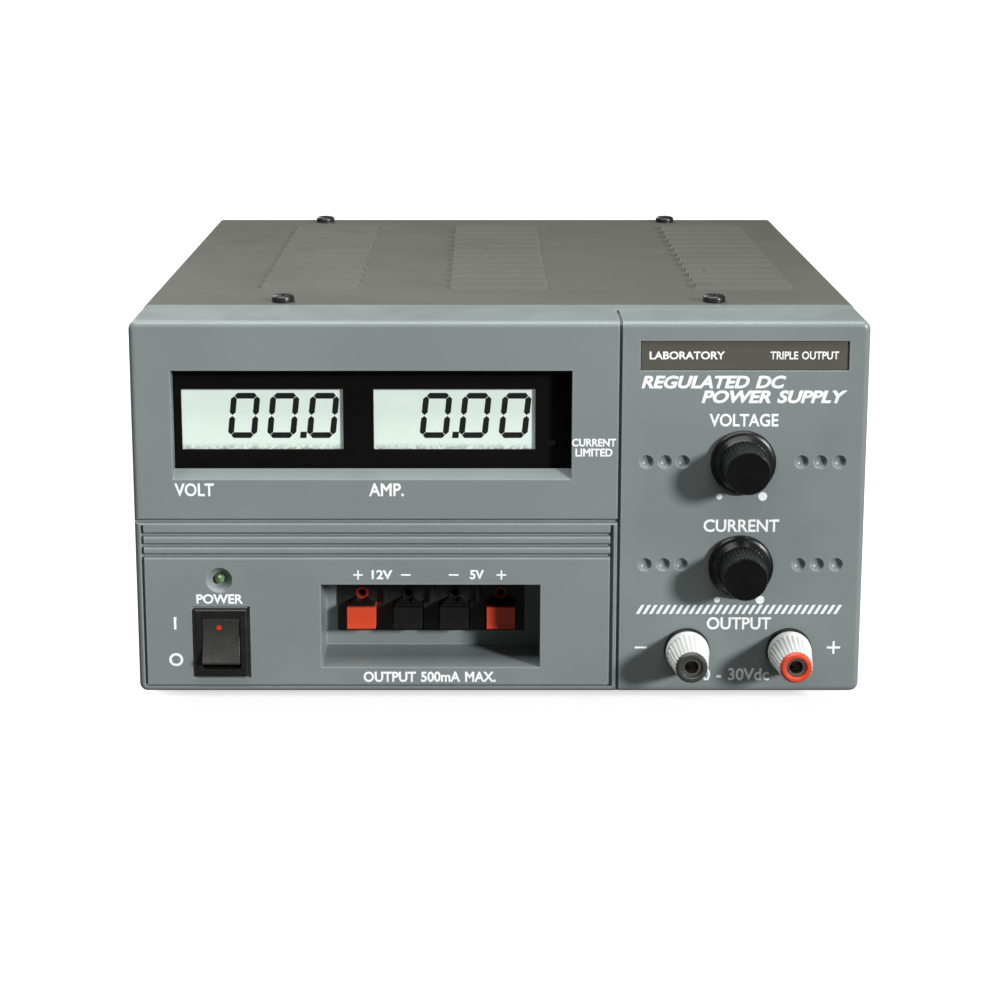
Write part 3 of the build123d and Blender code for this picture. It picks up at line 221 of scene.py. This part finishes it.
def cover_paint():
    """Satin brown-grey paint on sheet steel, with orange peel, smudges, specks and a painted highlight along
    sharp edges such as the louvre fronts.
    """
    colour = srgb(90, 91, 85)
    s = Surface("cover_paint", Specular_IOR_Level=0.08)
    cloud = s.spread(s.noise(0.06, 4.0, distortion=0.5), 0.3, 0.7)
    body = s.blend(cloud, scaled(colour, 0.90), scaled(colour, 1.06))
    smudge = s.spread(s.noise(0.028, 5.0, stretch=(1, 0.6, 1), distortion=1.0), 0.60, 0.78)
    body = s.blend(s.maths("MULTIPLY", smudge, 0.35), body, scaled(colour, 0.62))
    speck = s.spread(s.cells(0.012), 0.05, 0.035)
    body = s.blend(s.maths("MULTIPLY", speck, 0.7), body, scaled(colour, 0.25))
    # Painted highlight: sharp edges, the louvre fronts among them, are painted much lighter in noisy patches.
    wear_and_edge_highlight = s.maths("MULTIPLY", s.edges(0.0005), s.spread(s.noise(0.003, 3.0), 0.35, 0.65))
    s.colour(s.blend(s.maths("MULTIPLY", wear_and_edge_highlight, 0.8), body, scaled(colour, 2.6)))
    s.roughness(s.spread(s.noise(0.02, 4.0), 0.3, 0.7, 0.50, 0.62))
    s.relief([(s.noise(0.0009, 2.0), 0.000012)], 0.00025)
    return s.material


def plated(name, colour, roughness=0.3, tint=None, drawn=(1, 1, 1)):
    """Plated or bare metal with drawn lines, dull patches and a faint tint."""
    s = Surface(name, metallic=1.0)
    patches = s.spread(s.noise(0.012, 4.0, distortion=0.8), 0.3, 0.7)
    s.colour(s.blend(patches, scaled(colour, 0.86), tint or scaled(colour, 1.06)))
    s.roughness(s.spread(s.noise(0.004, 4.0, stretch=drawn), 0.25, 0.75, roughness - 0.07, roughness + 0.13))
    s.relief([(s.noise(0.0006, 2.0, stretch=drawn), 0.000008)], 0.0002)
    return s.material


def dark_paint(name, colour, roughness=0.42):
    """Black paint or oxide with dusty patches and rubbed corners."""
    s = Surface(name)
    dust = s.spread(s.noise(0.02, 5.0, distortion=0.5), 0.45, 0.8)
    body = s.blend(s.maths("MULTIPLY", dust, 0.25), colour, srgb(92, 92, 88))
    wear_and_edge_highlight = s.maths("MULTIPLY", s.edges(0.0004), s.spread(s.noise(0.002, 3.0), 0.40, 0.65))
    s.colour(s.blend(s.maths("MULTIPLY", wear_and_edge_highlight, 0.5), body, srgb(150, 150, 146)))
    s.roughness(s.spread(s.noise(0.006, 3.0), 0.3, 0.7, roughness - 0.06, roughness + 0.10))
    s.relief([(s.noise(0.0007, 2.0), 0.00001)], 0.0002)
    return s.material


def anodised():
    """Black anodised extrusion: lines along the fins and greyed fin tips."""
    s = Surface("heat_sink_black", metallic=0.35)
    lines = s.noise(0.0012, 3.0, stretch=(1, 1, 0.03))
    body = s.blend(lines, srgb(26, 26, 28), srgb(44, 44, 46))
    s.colour(s.blend(s.maths("MULTIPLY", s.edges(0.0005), 0.5), body, srgb(120, 120, 122)))
    s.roughness(s.spread(s.noise(0.01, 3.0), 0.3, 0.7, 0.36, 0.52))
    s.relief([(lines, 0.00002)], 0.0002)
    return s.material


def rubber():
    """Black rubber with dust in its grain."""
    s = Surface("rubber_black", Specular_IOR_Level=0.3)
    dust = s.spread(s.noise(0.004, 4.0), 0.4, 0.8)
    s.colour(s.blend(s.maths("MULTIPLY", dust, 0.4), srgb(24, 24, 24), srgb(86, 84, 80)))
    s.roughness(s.spread(s.noise(0.003, 3.0), 0.3, 0.7, 0.70, 0.88))
    s.relief([(s.noise(0.0004, 3.0), 0.00003)], 0.0003)
    return s.material


def clear_window():
    """Clear acrylic: almost unseen, with a faint haze of handling marks."""
    s = Surface("window_clear", Alpha=0.03, IOR=1.49)
    s.colour(s.blend(s.noise(0.01), srgb(8, 10, 9), srgb(26, 30, 28)))
    s.roughness(s.spread(s.noise(0.009, 4.0), 0.4, 0.8, 0.03, 0.14))
    s.relief([(s.noise(0.02, 1.0), 0.00001)])
    return s.material


def display_glass():
    """A reflective grey-green display: paper-like, darker and mottled at its low edge, with a faint painted
    glow that brightens it.
    """
    low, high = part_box("lcd_glasses")
    view_foot = (low.z + high.z) / 2 - 9.2 * MM
    # The emission is painted light: a faint glow that brightens the display beyond what the lamps give.
    s = Surface("lcd", Specular_IOR_Level=0.35, Emission_Strength=0.13)
    s.shader.inputs["Emission Color"].default_value = srgb(222, 242, 230)
    paper = s.blend(s.noise(0.012, 3.0), srgb(222, 239, 227), srgb(238, 250, 242))
    paper = s.blend(s.maths("MULTIPLY", s.noise(0.0005, 2.0), 0.18), paper, srgb(168, 186, 172))
    edge = s.spread(s.coordinate("Z"), view_foot + 1.9 * MM, view_foot - 0.1 * MM)
    mottle = s.spread(s.noise(0.0011, 4.0), 0.35, 0.62)
    s.colour(s.blend(s.maths("MULTIPLY", s.maths("MULTIPLY", edge, mottle), 0.85), paper, srgb(98, 104, 100)))
    s.roughness(s.spread(s.noise(0.003, 3.0), 0.3, 0.7, 0.34, 0.50))
    s.relief([(s.noise(0.0003, 2.0), 0.000004)])
    return s.material


def lens(name, dark, light, glow=0.0):
    """A tinted epoxy lens, brighter where the die's cup shows through."""
    s = Surface(name, Coat_Weight=0.6, Coat_Roughness=0.08, Subsurface_Weight=0.2)
    s.colour(s.blend(s.spread(s.noise(0.0012, 3.0), 0.35, 0.65), dark, light))
    s.roughness(s.spread(s.noise(0.001, 2.0), 0.3, 0.7, 0.12, 0.26))
    if glow:
        s.shader.inputs["Emission Color"].default_value = light
        s.shader.inputs["Emission Strength"].default_value = glow
    s.relief([(s.noise(0.0007, 2.0), 0.00001)])
    return s.material


def grained(name, colour, roughness, grain, depth):
    """Black switch and block plastic with a coarse leather grain."""
    s = Surface(name)
    s.colour(s.blend(s.noise(0.006, 4.0), scaled(colour, 0.75), scaled(colour, 1.3)))
    s.roughness(s.spread(s.noise(0.002, 3.0), 0.3, 0.7, roughness - 0.08, roughness + 0.10))
    s.relief([(s.cells(grain), depth)], 0.0003)
    return s.material


def board_green():
    """Solder mask over copper tracks, with a grid of pads."""
    s = Surface("circuit_board", Coat_Weight=0.3, Coat_Roughness=0.15)
    tracks = s.spread(s.cells(0.006, feature="DISTANCE_TO_EDGE"), 0.08, 0.10)
    body = s.blend(tracks, srgb(36, 122, 62), srgb(20, 78, 44))
    pads = s.spread(s.cells(0.00254), 0.16, 0.12)
    s.colour(s.blend(s.maths("MULTIPLY", pads, 0.6), body, srgb(206, 200, 186)))
    s.roughness(s.spread(s.noise(0.004), 0.3, 0.7, 0.30, 0.42))
    s.relief([(tracks, -0.00003)])
    return s.material


def layered_steel():
    """Varnished laminations: fine lines through the stack."""
    s = Surface("core_steel", metallic=0.6)
    lines = s.noise(0.0005, 2.0, stretch=(0.02, 1, 0.02))
    s.colour(s.blend(lines, srgb(52, 48, 44), srgb(104, 98, 90)))
    s.roughness(s.spread(s.noise(0.005), 0.3, 0.7, 0.42, 0.60))
    s.relief([(lines, 0.00006)])
    return s.material


def ink(name, colour):
    """Screen-printed ink: slightly uneven cover."""
    s = Surface(name, Specular_IOR_Level=0.35)
    s.colour(s.blend(s.spread(s.noise(0.0008, 3.0), 0.3, 0.7), scaled(colour, 0.90), colour))
    s.roughness(s.spread(s.noise(0.001, 2.0), 0.3, 0.7, 0.45, 0.60))
    s.relief([(s.noise(0.0003, 2.0), 0.000004)])
    return s.material


BLACK = srgb(20, 20, 20)
materials = {
    "bezel_plastic": bezel_plastic(),
    "cover_paint": cover_paint(),
    "zinc_steel": plated("zinc_steel", srgb(196, 198, 200), 0.34, srgb(206, 203, 184)),
    "panel_paint": dark_paint("panel_paint", srgb(40, 40, 40)),
    "black_steel": dark_paint("black_steel", srgb(24, 24, 25), 0.30),
    "name_plate": moulded("name_plate", srgb(86, 84, 76), 0.34, grain_depth=0.000004),
    "window_clear": clear_window(),
    "black_plastic": moulded("black_plastic", BLACK, 0.42, Specular_IOR_Level=0.3),
    "knob_black": moulded("knob_black", srgb(11, 11, 11), 0.30, grain_depth=0.000003,
                          Specular_IOR_Level=0.35),
    "lcd": display_glass(),
    "rubber_black": rubber(),
    "circuit_board": board_green(),
    "lens_red": lens("lens_red", srgb(58, 8, 8), srgb(96, 14, 12)),
    "lens_green": lens("lens_green", srgb(46, 74, 44), srgb(112, 148, 104), 0.02),
    "lever_red": moulded("lever_red", srgb(216, 72, 40), 0.36, edge_highlight_gain=1.4),
    "cap_grey": moulded("cap_grey", srgb(226, 229, 226), 0.42, edge_highlight_gain=1.1),
    "nickel_brass": plated("nickel_brass", srgb(206, 204, 196), 0.22),
    "heat_sink_black": anodised(),
    "aluminium_bare": plated("aluminium_bare", srgb(214, 216, 218), 0.36, drawn=(1, 1, 0.1)),
    "core_steel": layered_steel(),
    "winding_tape": moulded("winding_tape", srgb(226, 184, 72), 0.30, grain=0.002, Coat_Weight=0.4),
    "insulator_grey": moulded("insulator_grey", srgb(178, 178, 182), 0.60),
    "capacitor_sleeve": moulded("capacitor_sleeve", srgb(28, 42, 84), 0.28, Coat_Weight=0.3),
    "fuse_glass": lens("fuse_glass", srgb(178, 186, 188), srgb(222, 226, 226)),
    "lead_sleeve": moulded("lead_sleeve", srgb(172, 36, 28), 0.40),
    "selector_red": moulded("selector_red", srgb(186, 32, 26), 0.36),
}
slot_of = {row["node"]: row["material_slot"] for row in frame["record"]["subparts"]}
# finishes that differ from their slot's usual one
special = {
    "post_tip_negative": moulded("tip_grey", srgb(62, 64, 60), 0.38),
    # The bushes' red is painted darker: painted shade from the recess edge above them.
    "wire_bushes_red": moulded("bush_red_painted_shade", srgb(150, 42, 26), 0.45),
    "display_mask": moulded("mask_black", srgb(6, 6, 6), 0.60, Specular_IOR_Level=0.12),
    "rocker": grained("rocker_grain", srgb(50, 50, 47), 0.36, 0.0006, 0.00004),
    "rocker_housing": grained("switch_frame_grain", srgb(26, 26, 25), 0.36, 0.0009, 0.00001),
    "terminal_block": grained("terminal_block_grain", srgb(20, 20, 20), 0.46, 0.0006, 0.00001),
}
for name, piece in nodes.items():
    finish = special.get(name) or materials[slot_of[name]]
    piece.data.materials.clear()
    piece.data.materials.append(finish)


# ------------------------------------------------------------- mesh helpers

white_ink = ink("white_ink", srgb(252, 254, 254))
red_ink = ink("red_ink", srgb(214, 48, 26))
segment_ink = ink("segment_ink", srgb(20, 24, 22))


def add_piece(name, mesh, material, body="chassis"):
    """A printed piece that moves with a body."""
    piece = bpy.data.objects.new(name, mesh)
    bpy.context.scene.collection.objects.link(piece)
    mesh.materials.clear()
    mesh.materials.append(material)
    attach(piece, body)


def plate_mesh(name, outlines, front_y, thickness):
    """Flat shapes from (x, z) outlines that stand on a plane facing the front."""
    bm = bmesh.new()
    for outline in outlines:
        verts = [bm.verts.new((x, front_y, z)) for x, z in outline]
        face = bm.faces.new(verts)
        face.normal_update()
        if face.normal.y > 0:
            face.normal_flip()
        solid = bmesh.ops.extrude_face_region(bm, geom=[face])
        moved = [v for v in solid["geom"] if isinstance(v, bmesh.types.BMVert)]
        bmesh.ops.translate(bm, verts=moved, vec=(0, -thickness, 0))
    bmesh.ops.recalc_face_normals(bm, faces=bm.faces)
    mesh = bpy.data.meshes.new(name)
    bm.to_mesh(mesh)
    bm.free()
    return mesh


def disc(x, z, radius, steps=32):
    """The outline of a round spot."""
    turn = 2 * math.pi / steps
    return [(x + radius * math.cos(turn * i), z + radius * math.sin(turn * i)) for i in range(steps)]


def legend(name, words, x, z, width, height, slant=0.0, weight=0.012, facing=1, y=FACE_Y):
    """Printed words: centred on x, standing on z, fitted to a cap height and, if given, a width.

    weight thickens the strokes, in the font's own units. facing is 1 to the front and -1 to the back.
    The ink is a thin raised film.
    """
    curve = bpy.data.curves.new(name, "FONT")
    curve.body = words
    curve.shear = slant
    curve.bevel_depth = weight
    curve.bevel_resolution = 1
    curve.space_word = 1.3
    curve.resolution_u = 4
    holder = bpy.data.objects.new(name + "_text", curve)
    bpy.context.scene.collection.objects.link(holder)
    bpy.context.view_layer.update()
    shape = bpy.data.meshes.new_from_object(holder.evaluated_get(bpy.context.evaluated_depsgraph_get()))
    bpy.data.objects.remove(holder)
    xs = [v.co.x for v in shape.vertices]
    ys = [v.co.y for v in shape.vertices]
    tall = height / (max(ys) - min(ys))
    wide = width / (max(xs) - min(xs)) if width else tall
    for v in shape.vertices:
        across = (v.co.x - (min(xs) + max(xs)) / 2) * wide * facing
        rise = (v.co.y - min(ys)) * tall
        lift = PRINT_LIFT * v.co.z / weight
        v.co = Vector((x + across, y - facing * lift, z + rise))
    shape.name = name
    add_piece(name, shape, white_ink)


# ----------------------------------------------------------- front printing

def up(height):
    """A height above the bezel's lower edge, in millimetres, as a Z."""
    return FACE_BOTTOM + height * MM


def print_words():
    """Generic function words, each fitted to its place beside the part it names."""
    window_low, window_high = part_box("display_mask")
    led = middle("power_led")
    knobs = {name: middle(name + "_knob") for name in ("voltage", "current")}
    recess = middle("terminal_block")
    under_window = window_low.z - 3.1 * MM
    medium = 0.022
    bold = 0.030
    heavy = 0.040
    rows = [
        ("volt_word", "VOLT", window_low.x + 8.1 * MM, under_window, 11.6, 4.0, medium),
        ("amp_word", "AMP.", window_low.x + 64.7 * MM, under_window, 10.3, 4.0, medium),
        ("limit_word_a", "CURRENT", window_high.x + 4.5 * MM, up(75.8), 13.0, 2.4, bold),
        ("limit_word_b", "LIMITED", window_high.x + 4.5 * MM, up(72.8), 10.9, 2.4, bold),
        ("voltage_word", "VOLTAGE", knobs["voltage"].x, knobs["voltage"].z + 10.6 * MM, 20.2, 3.9, medium),
        ("current_word", "CURRENT", knobs["current"].x, knobs["current"].z + 10.4 * MM, 22.4, 3.9, medium),
        ("output_word", "OUTPUT", knobs["voltage"].x, up(19.6), 19.2, 3.9, medium),
        ("range_word", "0 - 30Vdc", knobs["voltage"].x - 0.6 * MM, up(3.6), 20.1, 3.9, medium),
        ("power_word", "POWER", led.x, up(27.6), 13.9, 3.0, bold),
        ("on_word", "I", led.x - 13.5 * MM, up(19.6), None, 3.9, medium),
        ("off_word", "O", led.x - 13.5 * MM, up(8.1), None, 4.1, medium),
        ("twelve_word", "12V", recess.x - 14.0 * MM, up(35.2), 6.2, 2.9, bold),
        ("five_word", "5V", recess.x + 14.2 * MM, up(35.2), 4.2, 2.9, bold),
        ("rating_word", "OUTPUT 500mA MAX.", recess.x, up(3.1), 39.7, 3.3, bold),
    ]
    for name, words, x, z, width, height, weight in rows:
        wide = width * MM if width else None
        legend(name, words, x, z, wide, height * MM, weight=weight)
    plate_low, plate_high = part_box("name_plate")
    tall = 3.9 * MM
    slant = 0.26
    legend("title_word_a", "REGULATED DC", plate_low.x + 21.2 * MM, up(93.2), 42.3 * MM, tall, slant, heavy)
    legend("title_word_b", "POWER SUPPLY", plate_high.x - 21.4 * MM, up(88.8), 42.7 * MM, tall, slant, heavy)
    small = 2.4 * MM
    plate_z = (plate_low.z + plate_high.z - small) / 2
    legend("plate_word_a", "LABORATORY", plate_low.x + 13.4 * MM, plate_z, 22 * MM, small, weight=bold,
           y=plate_low.y)
    legend("plate_word_b", "TRIPLE OUTPUT", plate_high.x - 12.8 * MM, plate_z, 20 * MM, small, weight=medium,
           y=plate_low.y)


def print_marks():
    """Polarity signs, the dots that mark each knob's travel, and the hatched band."""
    small = 1.45 * MM
    signs = []

    def minus(x, z, half):
        bar = 0.16 * half
        signs.append([(x - half, z - bar), (x + half, z - bar), (x + half, z + bar), (x - half, z + bar)])

    def plus(x, z, half):
        minus(x, z, half)
        bar = 0.16 * half
        signs.append([(x - bar, z + bar), (x + bar, z + bar), (x + bar, z + half), (x - bar, z + half)])
        signs.append([(x - bar, z - half), (x + bar, z - half), (x + bar, z - bar), (x - bar, z - bar)])

    for node, draw in (("lever_12v_plus", plus), ("lever_12v_minus", minus),
                       ("lever_5v_minus", minus), ("lever_5v_plus", plus)):
        draw(middle(node).x, up(36.6), small)
    minus(middle("post_cap_negative").x - 13.8 * MM, up(14.0), 1.8 * MM)
    plus(middle("post_cap_positive").x + 13.4 * MM, up(14.0), 2.0 * MM)
    for name in ("voltage_knob", "current_knob"):
        centre = middle(name)
        signs.append(disc(centre.x - 6.7 * MM, centre.z - 10.5 * MM, 0.9 * MM))
        signs.append(disc(centre.x + 6.1 * MM, centre.z - 10.5 * MM, 1.3 * MM))
    add_piece("front_signs", plate_mesh("front_signs", signs, FACE_Y, PRINT_LIFT), white_ink)

    plate_low, plate_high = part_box("name_plate")
    stripes = []
    count = 31
    low = up(24.5)
    high = up(27.3)
    lean = 1.6 * MM
    stroke = 0.95 * MM
    pitch = (plate_high.x - plate_low.x - lean - stroke + 1.0 * MM) / (count - 1)
    for step in range(count):
        x = plate_low.x - 0.5 * MM + step * pitch
        stripes.append([(x, low), (x + stroke, low), (x + stroke + lean, high), (x + lean, high)])
    add_piece("hatched_band", plate_mesh("hatched_band", stripes, FACE_Y, PRINT_LIFT), white_ink)


def rocker_dot():
    """A red dot on the hollow face, near the pressed end."""
    rocker = nodes["rocker"]
    low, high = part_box("rocker")
    centre_x = (low.x + high.x) / 2 - 0.6 * MM
    centre_z = high.z - 2.9 * MM
    bm = bmesh.new()
    rings = []
    for lift in (0.03 * MM, -0.05 * MM):
        ring = []
        for x, z in disc(centre_x, centre_z, 0.75 * MM, 24):
            start = Vector((x, low.y - 10 * MM, z))
            hit, point, normal, face = rocker.ray_cast(start, Vector((0, 1, 0)))
            ring.append(bm.verts.new(point + normal * lift))
        rings.append(ring)
    front, back = rings
    bm.faces.new(front)
    bm.faces.new(list(reversed(back)))
    for step in range(len(front)):
        after = (step + 1) % len(front)
        bm.faces.new((front[step], back[step], back[after], front[after]))
    bmesh.ops.recalc_face_normals(bm, faces=bm.faces)
    mesh = bpy.data.meshes.new("rocker_dot")
    bm.to_mesh(mesh)
    bm.free()
    add_piece("rocker_dot", mesh, red_ink, "power_rocker")


# ------------------------------------------------------------------ display

DIGIT_HEIGHT = 13.7 * MM
DIGIT_WIDTH = 8.6 * MM
DIGIT_STROKE = 1.75 * MM
DIGIT_GAP = 0.14 * MM
DIGIT_LEAN = math.tan(math.radians(6.0))
DIGIT_PLACES = (-5.5 * MM, 6.1 * MM, 17.9 * MM)
POINT_SIZE = 1.9 * MM
SEGMENT_LIFT = 0.02 * MM


def bar_outline(start, end):
    """One mitred segment between two corners of the figure."""
    x0, z0 = start
    x1, z1 = end
    length = math.hypot(x1 - x0, z1 - z0)
    along = ((x1 - x0) / length, (z1 - z0) / length)
    across = (-along[1], along[0])
    half = DIGIT_STROKE / 2

    def point(distance, offset):
        return (x0 + along[0] * distance + across[0] * offset, z0 + along[1] * distance + across[1] * offset)

    first, last = DIGIT_GAP, length - DIGIT_GAP
    return [point(first, 0), point(first + half * 0.9, -half), point(last - half * 0.9, -half),
            point(last, 0), point(last - half * 0.9, half), point(first + half * 0.9, half)]


def zero_digit(x, z):
    """The six lit segments of a nought."""
    half = (DIGIT_WIDTH - DIGIT_STROKE) / 2
    tall = (DIGIT_HEIGHT - DIGIT_STROKE) / 2
    corners = [(-half, -tall), (-half, 0), (-half, tall), (half, tall), (half, 0), (half, -tall)]
    outlines = []
    for step, start in enumerate(corners):
        end = corners[(step + 1) % len(corners)]
        bar = bar_outline(start, end)
        outlines.append([(x + px + pz * DIGIT_LEAN, z + pz) for px, pz in bar])
    return outlines


def point_outline(x, z):
    """The decimal point: a small square that leans with the figures."""
    half = POINT_SIZE / 2
    lean = 0.2 * MM
    return [(x - half, z - half), (x + half, z - half),
            (x + half + lean, z + half), (x - half + lean, z + half)]


def meter_reading(name, centre_x, point_x):
    """Three noughts and a decimal point, on the front of the display glass."""
    low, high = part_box("lcd_glasses")
    centre_z = (low.z + high.z) / 2 + 1.0 * MM
    outlines = []
    for place in DIGIT_PLACES:
        outlines += zero_digit(centre_x + place, centre_z)
    outlines.append(point_outline(centre_x + point_x, centre_z - (DIGIT_HEIGHT - POINT_SIZE) / 2))
    add_piece(name, plate_mesh(name, outlines, low.y, SEGMENT_LIFT), segment_ink)


def displays():
    """Both meters at zero, as in the photo."""
    low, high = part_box("lcd_glasses")
    half_glass = 25.4 * MM
    meter_reading("voltmeter_reading", low.x + half_glass, 11.9 * MM)
    meter_reading("ammeter_reading", high.x - half_glass, 0.2 * MM)


# ---------------------------------------------------------------- rear words

def rear_words():
    """Generic function words on the rear panel."""
    rear_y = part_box("rear_panel")[1].y
    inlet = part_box("inlet_body")
    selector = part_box("selector_housing")
    inlet_x = (inlet[0].x + inlet[1].x) / 2
    selector_x = (selector[0].x + selector[1].x) / 2
    legend("inlet_words", "AC INPUT", inlet_x, inlet[1].z + 2.5 * MM, 20 * MM, 3.2 * MM, facing=-1, y=rear_y)
    legend("fuse_words", "FUSE", inlet_x, inlet[0].z - 6.0 * MM, 10 * MM, 3.0 * MM, facing=-1, y=rear_y)
    legend("selector_words", "115V / 230V", selector_x, selector[1].z + 2.5 * MM, 24 * MM, 3.2 * MM,
           facing=-1, y=rear_y)


# ------------------------------------------------------------ stage and light

def stage():
    """A pale floor, large enough to fill the view. It lights and mirrors nothing."""
    bm = bmesh.new()
    bmesh.ops.create_grid(bm, x_segments=6, y_segments=6, size=30.0)
    mesh = bpy.data.meshes.new("floor")
    bm.to_mesh(mesh)
    bm.free()
    floor = bpy.data.objects.new("floor", mesh)
    bpy.context.scene.collection.objects.link(floor)
    s = Surface("floor_paper", roughness=0.9, Specular_IOR_Level=0.1, Emission_Strength=0.62)
    s.shader.inputs["Emission Color"].default_value = (1.0, 1.0, 1.0, 1.0)
    s.colour(s.blend(s.noise(0.4, 2.0), srgb(238, 238, 237), srgb(244, 244, 244)))
    mesh.materials.append(s.material)
    floor.visible_diffuse = False
    floor.visible_glossy = False


def place_lamp(name, lamp, towards):
    """Turns a lamp so that its light comes from this direction."""
    holder = bpy.data.objects.new(name, lamp)
    bpy.context.scene.collection.objects.link(holder)
    holder.rotation_euler = Vector(towards).to_track_quat("Z", "Y").to_euler()
    return holder


def sun(name, towards, strength, spread):
    """Distant light. Strength 1 shows a white sheet that faces it as white."""
    lamp = bpy.data.lights.new(name, "SUN")
    lamp.energy = strength * math.pi
    lamp.angle = math.radians(spread)
    place_lamp(name, lamp, towards)


def softbox(name, place, towards, width, depth, radiance):
    """A lit panel that shows in gloss but isn't seen itself."""
    lamp = bpy.data.lights.new(name, "AREA")
    lamp.shape = "RECTANGLE"
    lamp.size = width
    lamp.size_y = depth
    lamp.energy = radiance * math.pi * width * depth
    holder = place_lamp(name, lamp, towards)
    holder.location = place
    holder.visible_camera = False


def light():
    """A key from the front right, a panel above the front edge, and a weak fill from behind."""
    sun("key_light", (0.684, -0.660, 0.307), 1.22, 9)
    softbox("overhead", (-0.04, FACE_Y - 0.08, FACE_TOP + 0.40), (0.0, -0.22, 1.0), 0.62, 0.24, 6.4)
    sun("back_fill", (-0.45, 0.72, 0.53), 0.42, 40)
    world = bpy.data.worlds.new("studio")
    bpy.context.scene.world = world
    world.use_nodes = True
    tree = world.node_tree
    background = tree.nodes["Background"]
    background.inputs["Color"].default_value = (1.0, 1.0, 0.98, 1.0)
    strength = tree.nodes.new("ShaderNodeMapRange")
    strength.inputs["To Min"].default_value = 0.11
    strength.inputs["To Max"].default_value = 1.0
    tree.links.new(tree.nodes.new("ShaderNodeLightPath").outputs["Is Camera Ray"], strength.inputs["Value"])
    tree.links.new(strength.outputs["Result"], background.inputs["Strength"])
    bpy.context.scene.view_settings.view_transform = "Standard"


def camera():
    """Stands 607 mm before the face and 225 mm above its foot, a little left of centre."""
    distance = 607 * MM
    above = 224.6 * MM
    left = 5.07 * MM
    pitch = math.radians(11.44)
    lens = bpy.data.cameras.new("camera")
    lens.sensor_width = 36.0
    lens.lens = 76.6
    lens.shift_x = 0.018
    lens.shift_y = -0.14
    holder = bpy.data.objects.new("camera", lens)
    bpy.context.scene.collection.objects.link(holder)
    holder.location = (-left, FACE_Y - distance, FACE_BOTTOM + above)
    holder.rotation_euler = (math.pi / 2 - pitch, 0, 0)
    lens.clip_start = 0.01
    lens.clip_end = 200.0
    bpy.context.scene.camera = holder


print_words()
print_marks()
rocker_dot()
displays()
rear_words()
stage()
light()
camera()
